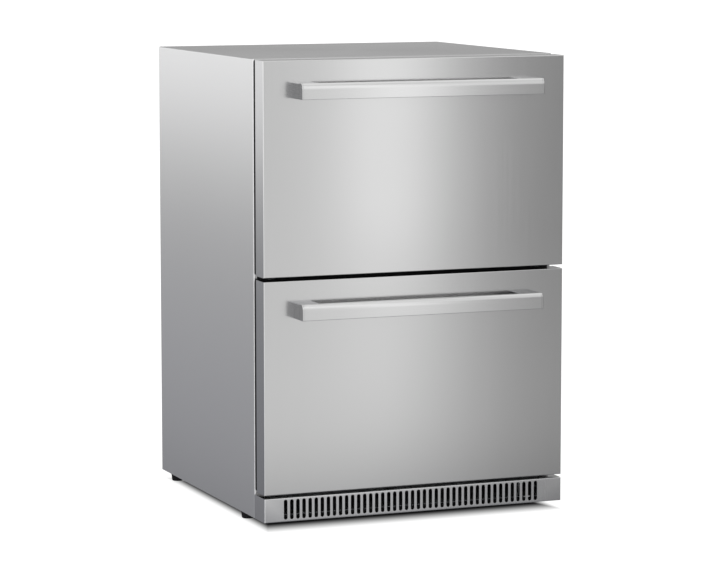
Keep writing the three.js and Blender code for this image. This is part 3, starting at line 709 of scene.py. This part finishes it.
def seal(drawer):
    """The magnetic seal: a soft bellows, wide at the cabinet."""
    low, high = box_of(f"{drawer}_seal")
    section = [
        (4.0, 0.0), (0.5, 0.1), (0.0, 0.6), (0.0, 3.6), (0.5, 4.4), (0.5, 5.4), (0.0, 6.2), (0.0, 8.6),
        (0.0, 11.4), (0.4, 12.2), (2.6, 12.4), (14.6, 12.4), (16.6, 12.0), (17.6, 10.8), (18.0, 8.6),
        (17.6, 6.6), (15.0, 5.6), (15.2, 4.6), (17.4, 3.6), (17.0, 2.2), (14.6, 1.6), (14.0, 0.0),
    ]
    depth = (high.y - low.y) / 12.4
    section = [(inset, low.y + w * depth) for inset, w in section]
    shape = Shape(f"{drawer}_seal_bellows", seal_rubber)
    shape.ring_frame(section, low.x, high.x, low.z, high.z, "y", 3)
    shape.done(f"{drawer}_drawer", f"{drawer}_seal")


def handle(drawer):
    """A bar that curves back at its top, with a cap on each end, on two square posts. Its back carries
    painted light; its end faces, its posts and the posts' tops carry painted shade.
    """
    body = f"{drawer}_drawer"
    low, high = box_of(f"{drawer}_handle_bar")
    middle, half = (low.z + high.z) / 2, (high.z - low.z) / 2
    cap, curve, start = 3.2, 16, 3
    face = [
        (low.y + curve * (1 - cos(a)), middle + start + curve * sin(a))
        for a in (radians(42) * k / 10 for k in range(10, -1, -1))
    ]
    bottom, top = middle - half, middle + half
    outline = rounded(
        [*face, (low.y, bottom, 0.9), (high.y, bottom, 1), (high.y, top, 1), (face[0][0] + 1.2, top, 0.9)], 3
    )
    bar = Shape(f"{drawer}_bar", handle_steel)
    bar.prism(outline, "x", low.x + cap + HAIR, high.x - cap - HAIR)
    # painted light on the bar's back
    bar.paint([bar.facing("y", 1)], painted_light_handle_back_steel)
    bar.done(body, f"{drawer}_handle_bar", bevel=CRISP, segments=1)
    for side, label in SIDES:
        end = Shape(f"{drawer}_handle_cap_{label}", painted_shade_post_steel)
        tip = side * high.x
        end.prism(outline, "x", *sorted((tip, tip - side * cap)))
        # the cap's end faces keep the near-black steel: painted shade
        end.paint_where(lambda normal: abs(normal.x) < 0.5, handle_steel)
        end.round_edges(0.8, 3, lambda e: min(abs(v.co.x) for v in e.verts) > high.x - 0.01)
        end.done(body, bevel=CRISP, segments=1)
        post_low, post_high = box_of(f"{drawer}_handle_post_{label}")
        post = Shape(f"{drawer}_post_{label}", painted_shade_post_steel)
        view = rectangle(post_low.x, post_high.x, post_low.z, post_high.z, 1.4, 4)
        post.prism(view, "y", post_low.y - HAIR, post_high.y + HAIR)
        # painted shade on the posts' tops, from the darker edge steel
        post.paint_where(lambda normal: normal.z > 0.5, painted_shade_edge_steel)
        post.done(body, f"{drawer}_handle_post_{label}", bevel=0.2)
        grub = Shape(f"{drawer}_grub_screw_{label}", bright_metal)
        x, y, _ = (post_low + post_high) / 2
        z = post_low.z
        grub.turned([(0, -0.1), (2.5, -0.1), (2.5, 1.5), (0, 1.5)], (x, y, z), "z", 24)
        grub.prism(circle(x, y, 1.3, 6), "z", z - 0.16, z, black_plastic)
        grub.done(body)


# ---- bins, frames, slides


def bin_tub(drawer):
    """A pressed tub with round corners, a rolled rim and shallow beads along its floor."""
    low, high = box_of(f"{drawer}_bin")
    side, front, rear = 8.8, 1.5, 8
    wall, bend = 1, 7
    shape = Shape(f"{drawer}_tub", bin_steel)

    def ring(inset, flare, z):
        x = high.x - side * (1 - flare) - inset
        y0, y1 = low.y + front * (1 - flare) + inset, high.y - rear * (1 - flare) - inset
        return shape.points(rectangle(-x, x, y0, y1, 16 - inset + 8 * flare), "z", z)

    def foot(start, radius, z, a):
        return ring(start + radius * (1 - sin(a)), 0, z + radius * (1 - cos(a)))

    rings = [foot(0, bend, low.z, a) for a in QUARTER]
    rim = (
        (0, 0, 3.0), (0, 0.12, 1.3), (0, 0.35, 1.0), (0, 0.86, 1.0), (0, 0.90, 3.0), (0, 1, 3.0),
        (0, 1, 0.8), (0, 0.92, 0), (0, 0.2, 0), (0.7, 0, 0.5), (1.0, 0, 2.5),
    )
    rings += [ring(inset, flare, high.z - drop) for inset, flare, drop in rim]
    rings += [foot(wall, bend - wall, low.z + wall, a) for a in reversed(QUARTER)]
    shape.skin(rings)
    for x in spread(5, 84):
        bead = [
            (-r, r - 0.01, low.z + wall + up) for r, up in ((11, -0.1), (9, 0.5), (6, 1.0), (2, 1.2))
        ]
        shape.stack("z", x, x, low.y + 46, high.y - 54, bead)
    shape.done(f"{drawer}_drawer", f"{drawer}_bin")


def drawer_frame(drawer):
    """The hoop that hangs on the slides and holds the bin."""
    low, high = box_of(f"{drawer}_frame")
    sheet = 1.5
    section = [(0, low.z), (0, high.z), (sheet, high.z), (sheet, low.z)]
    shape = Shape(f"{drawer}_hoop", zinc_sheet)
    shape.ring_frame(section, low.x, high.x, low.y, high.y, "z", 3)
    z = low.z + 27
    for side in (-1, 1):
        for y in (0.12, 0.5, 0.88):
            place = (side * (high.x - sheet), low.y + (high.y - low.y) * y, z)
            profile = [(0, 0), (3.6, 0), (3.4, 0.12), (2.6, 0.2), (0, 0.22)]
            shape.turned([(r, -side * h) for r, h in profile], place, "x", 20, bright_metal)
    shape.done(f"{drawer}_drawer", f"{drawer}_frame", bevel=0.2, segments=1)


def slides(drawer):
    """Three-part ball slides. The balls run in cages between the members."""
    sheet = 1.2
    for side, label in SIDES:
        bodies = {"outer": "cabinet", "middle": f"{drawer}_slide_middle_{label}", "inner": f"{drawer}_drawer"}
        for member, body in bodies.items():
            node = f"{drawer}_slide_{member}_{label}"
            low, high = box_of(node)
            near, far = (low.x, high.x) if side > 0 else (-high.x, -low.x)
            web, tip, turn = (near, far, -1) if member == "inner" else (far, near, 1)
            outline = bent([(tip, low.z), (web, low.z, 2.4), (web, high.z, 2.4), (tip, high.z)], sheet, turn)
            shape = Shape(node + "_rail", slide_zinc)
            shape.prism([(side * u, v) for u, v in outline], "y", low.y, high.y)
            middle = (low.z + high.z) / 2
            length = high.y - low.y
            if member == "middle":
                for reach, x in ((19.4, web - 3.4), (14.4, web - 3.6)):
                    for z in (middle - reach, middle + reach):
                        for start in (0.03, 0.62):
                            for k in range(9):
                                ball(shape, (side * x, low.y + length * start + k * 11.5, z), 1.75)
                stop = sorted((side * (web - 1.4), side * (web - 5.2)))
                shape.box((stop[0], high.y - 7, middle - 7), (stop[1], high.y - 1, middle + 7), black_plastic)
            else:
                face = side * (web - turn * sheet)
                for part in (0.08, 0.5, 0.92):
                    screw(shape, (face, low.y + length * part, middle), "x", -side * turn, 3.2)
            shape.done(body, node, bevel=0.15, segments=1)


def ball(shape, centre, radius):
    profile = [(radius * sin(pi * k / 8), -radius * cos(pi * k / 8)) for k in range(9)]
    shape.turned(profile, centre, "z", 12, bright_metal)


# ---- inside the cabinet

LINER_HALF, LINER_FLOOR, LINER_TOP, LINER_BACK = 258, 99, 820.5, 277.5
STEP_Y, STEP_TOP = 63.5, 254.5


def inner_liner():
    """The moulded liner, rounded in all its corners, with a flat flange round its mouth."""
    low, high = box_of("inner_liner")
    face = low.y
    bend = 14
    shape = Shape("liner_shell", liner_white)

    def ring(x, inset):
        r, hollow = max(bend - inset, 0.05), bend + inset
        outline = rounded([
            (face, LINER_FLOOR + inset), (STEP_Y - inset, LINER_FLOOR + inset, r),
            (STEP_Y - inset, STEP_TOP + inset, hollow), (LINER_BACK - inset, STEP_TOP + inset, r),
            (LINER_BACK - inset, LINER_TOP - inset, r), (face, LINER_TOP - inset),
        ])
        return shape.points(outline, "x", x)

    edge = [(LINER_HALF - bend * (1 - cos(a)), bend * (1 - sin(a))) for a in QUARTER]
    rings = [ring(-x, inset) for x, inset in edge] + [ring(x, inset) for x, inset in reversed(edge)]
    shape.skin(rings)
    mouth = [f for f in shape.bm.faces if max(v.co.y for v in f.verts) < face + 0.1]
    bmesh.ops.delete(shape.bm, geom=mouth, context="FACES")
    shape.done("cabinet", "inner_liner", sheet=-2)
    flange = Shape("liner_flange", liner_white)
    x = high.x + 0.2
    z0, z1 = LINER_FLOOR - 18.9, LINER_TOP + 19.9
    flange.prism(rectangle(-x, x, z0, z1), "y", face, face + 2)
    hole = rectangle(-LINER_HALF, LINER_HALF, LINER_FLOOR, LINER_TOP, 3)
    for sign in (-1, 1):
        flange.pierce(flange.facing("y", sign), [hole])
    flange.done("cabinet", bevel=0.15)


def mullion():
    """The rail between the openings, with a black strip of painted shade that shows between the two seals."""
    low, high = box_of("centre_mullion")
    shape = open_box("mullion_rail", black_plastic, low, high, 2)
    shape.done("cabinet", "centre_mullion", bevel=0.2, segments=1, sheet=FOLDED_SHEET)
    upper, lower = box_of("upper_seal"), box_of("lower_seal")
    edge = upper[1].x - 6
    # painted shade: a black sheet that stands in for the shade in the gap between the two seals
    strip = Shape("mullion_painted_shade_strip", black_plastic)
    strip.box((-edge, low.y - 0.9, lower[1].z + 0.3), (edge, low.y + 0.1, upper[0].z - 0.3))
    strip.done("cabinet")


def controls():
    dress("control_housing", grey_plastic, 0.6)
    dress("display_lens", dark_glass, 0.4)
    bezel = Shape("display_bezel", black_plastic)
    low, high = box_of("display_lens")
    front = box_of("control_housing")[0].y
    section = [(0, front - 0.1), (0.3, front - 0.9), (1.1, front - 0.9), (1.6, front + 0.2)]
    bezel.ring_frame(section, low.x - 1.7, high.x + 1.7, low.z - 1.7, high.z + 1.7, "y", 2)
    bezel.done("cabinet")
    for node in ("set_button", "lamp_button"):
        low, high = box_of(node)
        x, _, z = (low + high) / 2
        profile = [(0, 0.9), (2.2, 0.7), (3.8, 0.15), (4.3, 0), (4.8, 0.2), (5, 0.7), (5, 11.6), (0, 11.6)]
        shape = Shape(node + "_cap", black_plastic)
        shape.turned(profile, (x, low.y, z), "y", 40)
        shape.done(node, node)
    low, high = box_of("lamp_lens")
    ribs = 12
    pitch = (high.y - low.y - 6) / ribs
    edge = [(low.y, high.z), (low.y, low.z + 3, 2), (low.y + 3, low.z + 0.6)]
    for i in range(ribs):
        y = low.y + 3 + i * pitch
        edge += [(y + pitch * 0.5, low.z), (y + pitch, low.z + 0.6)]
    edge += [(high.y, low.z + 3, 2), (high.y, high.z)]
    shape = Shape("lamp_cover", lamp_white)
    shape.prism(rounded(edge), "x", low.x, high.x)
    shape.done("cabinet", "lamp_lens", bevel=0.3)


def evaporator():
    """The cover at the back of the liner, its fan guard, and the finned coil behind it."""
    dress("evaporator_cover", liner_white, 0.8)
    low, high = box_of("evaporator_cover")
    z = 738
    guard = Shape("evaporator_fan_guard", bright_metal)
    y = low.y - 1.5
    for r in range(8, 49, 8):
        wire_ring(guard, [(r * cos(a), y, z + r * sin(a)) for a in turns(48)], 0.9)
    for a in turns(6):
        guard.tube([(r * cos(a), y + 1.2, z + r * sin(a)) for r in (6, 30, 53)], 0.9, 8)
    guard.done("cabinet")
    trim = Shape("evaporator_cover_screws", bright_metal)
    for x in (low.x + 12, high.x - 12):
        for height in (low.z + 14, high.z - 14):
            screw(trim, (x, low.y + 0.02, height), "y", -1, 3.6)
    trim.done("cabinet")
    dress("evaporator_coil", fin_metal)
    for node in ("evaporator_fan_frame", "evaporator_fan_rotor"):
        dress(node, black_plastic, 0.5)


def wire_ring(shape, points, radius):
    """A closed round wire through points that lie in a plane square to Y."""
    points = [Vector(p) for p in points]
    middle = sum(points, Vector()) / len(points)
    rings = []
    for p in points:
        out = (p - middle).normalized()
        rings.append([p + out * (radius * cos(a)) + Vector((0, radius * sin(a), 0)) for a in turns(8)])
    shape.skin(rings, closed=True)


# ---- machine space


def machine_cover():
    """A dished rear cover with rows of hooded louvres."""
    low, high = box_of("machine_cover")
    shape = Shape("louvred_cover", zinc_sheet)
    dish = ((0, 0), (16.6, 0), (17.6, 0.5), (18.1, 1.8), (18.4, 7.4), (18.9, 8.6), (20.2, 9))
    levels = [(d, 26 - d if d else 3, high.y - deep) for d, deep in dish]
    shape.stack("y", low.x, high.x, low.z, high.z, levels)
    outer = max(shape.bm.faces, key=lambda f: f.calc_area())
    bmesh.ops.delete(shape.bm, geom=[outer], context="FACES")
    floor = max(shape.bm.faces, key=lambda f: f.calc_area())
    middle = (low.z + high.z) / 2 + 8
    places = [(x, middle + dz) for x in spread(3, 150) for dz in spread(8, 13)]
    slots = [rectangle(x - 55, x + 55, z - 2.5, z + 2.5) for x, z in places]
    hole = circle(-235, 52, 8.3, 32)
    shape.pierce(floor, [*slots, hole])
    shape.done("cabinet", "machine_cover", sheet=1)
    base = high.y - 9
    hoods = Shape("louvre_hoods", zinc_sheet)
    for x, z in places:
        lid = bent([(base - 0.5, z + 3.4), (base + 2.6, z + 2.6, 2), (base + 5.2, z - 2.6)], 0.8, -1)
        hoods.prism(lid, "x", x - 56, x + 56)
    hoods.done("cabinet", bevel=0.15, segments=1)
    screws = Shape("cover_screws", bright_metal)
    for x in spread(4, 180):
        for z in (low.z + 8, high.z - 8):
            screw(screws, (x, high.y - 0.02, z), "y", 1, 3.6)
    screws.done("cabinet")


def gland():
    low, high = box_of("cord_gland")
    x, _, z = (low + high) / 2
    long = high.y - low.y
    profile = [(4, 0), (7.6, 0), (8, 0.6), (8, 12), (11.6, 12.2), (12, 12.8), (11.6, 13.6), (9, 14.4)]
    step = (long - 15.2) / 3
    for i in range(3):
        y = 14.4 + i * step
        profile += [(8.4 - i, y + 0.3 * step), (8.0 - i, y + 0.9 * step)]
    profile += [(6, long - 0.6), (5.4, long), (4, long), (4, 0)]
    shape = Shape("cord_bush", black_plastic)
    shape.turned(profile, (x, low.y, z), "y", 32)
    shape.done("cabinet", "cord_gland")


def compressor():
    """A welded steel can on a plate with rubber mounts, its terminal cover and its pipes."""
    low, high = box_of("compressor")
    cx, cy, _ = (low + high) / 2
    half_x, half_y, _ = (high - low) / 2
    rx, ry = 92.5, 74
    shape = Shape("compressor_can", black_enamel)
    foot = low.z + 12
    top = high.z
    levels = [
        (0.5, 0), (0.78, 0.02), (0.92, 0.07), (0.985, 0.16), (1, 0.3), (1, 0.515), (1.025, 0.52),
        (1.03, 0.53), (1.025, 0.545), (0.985, 0.55), (0.985, 0.74), (0.96, 0.84), (0.88, 0.92), (0.72, 0.97),
        (0.45, 0.993), (0.02, 1),
    ]
    rings = [
        [(cx + rx * f * cos(a), cy + ry * f * sin(a), foot + (top - foot) * h) for a in turns(56)]
        for f, h in levels
    ]
    shape.skin(rings)
    shape.prism(rectangle(low.x, high.x, low.y, high.y, 14), "z", low.z + 5, low.z + 8)
    for sx in (-1, 1):
        for sy in (-1, 1):
            at = (cx + sx * (half_x - 14), cy + sy * (half_y - 14), low.z)
            grommet = [(0, 0), (10, 0), (10, 5), (7, 6), (7, 7.5), (10, 8.5), (10, 13), (0, 13)]
            shape.turned(grommet, at, "z", 24, seal_rubber)
            bolt = [(0, 13), (6.4, 13), (6.4, 14), (5, 14.2), (5, 18), (0, 18)]
            shape.turned(bolt, at, "z", 6, bright_metal)
    shape.box((cx - 26, cy - ry - 12, foot + 38), (cx + 26, cy - ry + 8, foot + 84), black_plastic)
    shape.done("cabinet", "compressor", bevel=0.8)
    pipes = Shape("refrigerant_pipes", copper)
    coil_high = box_of("condenser_coil")[1]
    z = foot + 60
    for i, y in enumerate((-30, 24)):
        leave, reach = z + i * 20, coil_high.z - 10 - 12 * i
        start, turn = (cx - rx * 0.9, cy + y, leave), (cx - rx - 16, cy + y, leave)
        up, end = (cx - rx - 16, cy + y * 2.2, reach), (coil_high.x - 4, cy + y * 2.2, reach)
        pipes.tube([start, turn, up, end], 3.2, 10)
    pipes.done("cabinet")


def condenser():
    """A tube that winds through a block of thin fins, between two end plates."""
    low, high = box_of("condenser_coil")
    shape = Shape("condenser_fins", black_enamel)
    count = 48
    for i in range(count):
        x = low.x + 8 + (high.x - low.x - 16) * i / (count - 1)
        shape.box((x - 0.15, low.y + 4, low.z + 2), (x + 0.15, high.y - 4, high.z - 2))
    for row in range(4):
        z = low.z + (high.z - low.z) * (row + 0.5) / 4
        line = []
        ends = (low.x + 3.4, high.x - 3.4)
        for k in range(6):
            y = low.y + (high.y - low.y) * (k + 0.5) / 6
            line += [(ends[k % 2], y, z), (ends[1 - k % 2], y, z)]
        shape.tube(line, 3.2, 10)
    for x in (low.x + 6.5, high.x - 6.5):
        shape.box((x - 0.6, low.y, low.z), (x + 0.6, high.y, high.z), zinc_sheet)
    shape.done("cabinet", "condenser_coil")


def machine_space():
    machine_cover()
    gland()
    compressor()
    condenser()
    low, high = box_of("drain_tray")
    shape = Shape("melt_water_tray", grey_plastic)
    wall = (
        (9, 0), (5, 0.6), (3.4, 3), (2, 13.8), (0.2, 14.4), (0, 15.2), (0.4, 16), (3, 16), (4.2, 14.8),
        (5.4, 4), (7.4, 2.4), (11, 2),
    )
    levels = [(inset, 14 - inset, low.z + z * (high.z - low.z) / 16) for inset, z in wall]
    shape.stack("z", low.x, high.x, low.y, high.y, levels)
    shape.done("cabinet", "drain_tray")
    for node in ("condenser_fan_frame", "condenser_fan_rotor"):
        dress(node, black_plastic, 0.5)


# ---- everything

casing()
back_sheet()
kick_grille()
for place in ("front_left", "front_right", "rear_left", "rear_right"):
    foot("foot_" + place)
for drawer in ("upper", "lower"):
    front_skin(drawer)
    inner_panel(drawer)
    seal(drawer)
    handle(drawer)
    bin_tub(drawer)
    drawer_frame(drawer)
    slides(drawer)
    dress(f"{drawer}_front_foam", foam_yellow)
inner_liner()
mullion()
controls()
evaporator()
machine_space()
for node in ("base_pan", "compartment_floor"):
    dress(node, zinc_sheet, 0.25)
dress("cabinet_foam", foam_yellow)


# ---- floor, light, camera


def four_sided(name, corners, material):
    mesh = bpy.data.meshes.new(name)
    mesh.from_pydata(corners, [], [(0, 1, 2, 3)])
    mesh.materials.append(material)
    return new_object(name, mesh)


def floor():
    """A white floor that is lit evenly, but for a painted soft shadow close around the cabinet's foot, where
    its glow and its colour darken.
    """
    low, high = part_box("kick_grille")[0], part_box("left_side_panel")[1]
    centre, half = (low.y + high.y) / 2, (high.y - low.y) / 2
    shift, narrow = 0.006, 2.7  # the painted shadow's place along X, and how much narrower its side edges are
    n = Paint("floor_painted_shadow")
    moved = n.vector("SUBTRACT", n.add("ShaderNodeTexCoord").outputs["Object"], (shift, centre, 0))[0]
    beyond = n.vector("SUBTRACT", n.vector("ABSOLUTE", moved)[0], (-low.x, half, 0))[0]
    x, y, _ = n.split(n.vector("MULTIPLY", beyond, (narrow, 1, 1))[0])
    outside = n.total(x, y, "MAXIMUM")
    # painted shadow: the floor's glow and colour fall off close to the cabinet's footprint
    lit = n.span(outside, 0.0, 0.95, -0.075, 0.015, interpolation_type="SMOOTHSTEP")
    n.drive(Base_Color=n.blend(lit, (0.01,) * 3, (0.15,) * 3), Emission_Strength=lit)
    fill(n.shader, Roughness=0.9, Specular_IOR_Level=0.1, Emission_Color=(1, 1, 1, 1))
    reach = 30.0
    corners = [(-reach, -reach, 0), (reach, -reach, 0), (reach, reach, 0), (-reach, reach, 0)]
    obj = four_sided("floor", corners, n.material)
    obj.visible_glossy = False


def card(name, corner, across, up, shade):
    """A softbox that only the steel sees. From (u, v) across it, shade gives its brightness."""
    material = bpy.data.materials.new(name)
    n = Nodes(material)
    u, v, _ = n.split(n.add("ShaderNodeTexCoord").outputs["UV"])
    emission = n.add("ShaderNodeEmission", shade(n, u, v))
    n.add("ShaderNodeOutputMaterial", emission.outputs[0])
    corner, across, up = Vector(corner), Vector(across), Vector(up)
    obj = four_sided(name, [corner, corner + across, corner + across + up, corner + up], material)
    layer = obj.data.uv_layers.new(name="UVMap")
    for loop, uv in zip(layer.data, ((0, 0), (1, 0), (1, 1), (0, 1))):
        loop.uv = uv
    for kind in ("camera", "diffuse", "shadow", "transmission"):
        setattr(obj, f"visible_{kind}", False)


def front_shade(n, u, v):
    """A broad soft grey wall, darker to the right, with one bright upright beam over it."""
    wall = n.combine("MULTIPLY", n.ramp(
        u, (0, 0.64), (0.3, 0.655), (0.41, 0.69), (0.455, 0.635), (0.49, 0.545), (0.52, 0.455),
        (0.55, 0.38), (0.58, 0.315), (0.62, 0.275), (1, 0.24),
    ), n.ramp(
        v, (0, 0.3, 0.03), (0.24, 0.56, 0.02), (0.285, 0.89), (0.32, 1.04), (0.36, 1.06), (0.42, 1.02),
        (0.5, 1), (1, 1),
    ))
    beam = n.combine("MULTIPLY", n.ramp(
        u, (0.33, 0), (0.36, 0.03), (0.39, 0.17), (0.41, 0.33), (0.44, 0.42), (0.465, 0.37), (0.49, 0.17),
        (0.52, 0.06), (0.55, 0.02), (0.59, 0),
    ), n.ramp(v, (0.28, 0), (0.355, 0.3), (0.43, 0.52), (0.455, 0.68), (0.5, 1), (1, 1)))
    foot = n.combine(
        "MULTIPLY", n.ramp(u, (0.45, 0), (0.51, 0.03), (0.6, 0.035), (1, 0.045)),
        n.ramp(v, (0, 0.9), (0.3, 1.3), (0.35, 1), (0.4, 0.8), (0.46, 0)),
    )
    overhead = n.combine("MULTIPLY", n.ramp(
        u, (0, 0.22), (0.38, 0.2), (0.42, 0), (0.47, 0.02), (0.49, 0.16), (0.52, 0.28), (0.55, 0.38),
        (0.62, 0.44), (1, 0.42),
    ), n.ramp(v, (0.63, 0), (0.7, 1), (1, 1)))
    lit = n.combine("ADD", n.combine("ADD", wall, beam), foot)
    return n.combine("ADD", lit, overhead)


def side_shade(n, _, v):
    """Dark below, light above."""
    return n.ramp(
        v, (0, 0.12, 0.04), (0.2, 0.16, 0.04), (0.28, 0.255, 0.035), (0.312, 0.35, 0.03), (0.35, 0.365, 0.03),
        (0.4, 0.385, 0.025), (0.455, 0.42, 0.015), (0.505, 0.47, 0.005), (0.555, 0.655), (0.6, 0.88),
        (0.66, 1.03), (1, 1.08),
    )


def studio():
    """A world that is white to look at and for the floor, and soft grey shades for the steel."""
    world = bpy.data.worlds.new("studio")
    bpy.context.scene.world = world
    n = Nodes(world)
    white = n.add("ShaderNodeBackground")
    fill(white, Color=(1, 1, 1, 1), Strength=1.45)
    direction = n.add("ShaderNodeTexCoord").outputs["Generated"]
    sky = n.ramp(
        n.span(n.split(direction)[2], 0, 1, -1, 1), (0, 0.2, 0.03), (0.4, 0.28, 0.03), (0.49, 0.36),
        (0.56, 0.42), (0.7, 0.42), (0.85, 0.6), (1, 1),
    )
    aim = n.vector("DOT_PRODUCT", direction, (-0.75, -0.66, 0))["Value"]
    glow = n.ramp(aim, (0.25, 0), (0.8, 0.85), (1, 1))
    shaded = n.add("ShaderNodeBackground", n.combine("ADD", sky, glow))
    glossy = n.add("ShaderNodeLightPath").outputs["Is Glossy Ray"]
    chosen = n.add("ShaderNodeMixShader", glossy, white.outputs[0], shaded.outputs[0])
    n.add("ShaderNodeOutputWorld", chosen.outputs[0])


def camera():
    """The photograph's view, without its lens shift."""
    data = bpy.data.cameras.new("camera")
    data.sensor_width = 36.0
    data.lens = 154.55
    data.clip_end = 100
    obj = new_object("camera", data)
    obj.location = (-2.208, -5.492, 1.134)
    yaw, pitch, roll = radians(21.905), radians(-7.017), radians(-0.02)
    aim = Matrix.Rotation(-yaw, 4, "Z") @ Matrix.Rotation(pi / 2 + pitch, 4, "X")
    obj.rotation_euler = (aim @ Matrix.Rotation(roll, 4, "Z")).to_euler()
    bpy.context.scene.camera = obj


floor()
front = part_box("upper_front_skin")[0].y
card("front_softbox", (-0.6, front - 1.0, -0.9), (2.2, 0, 0), (0, 0, 2.8), front_shade)
card("side_softbox", (-1.1, -0.6, -1.4), (0, 16.0, 0), (0, 0, 3.4), side_shade)
studio()
camera()
bpy.context.scene.view_settings.view_transform = "Standard"
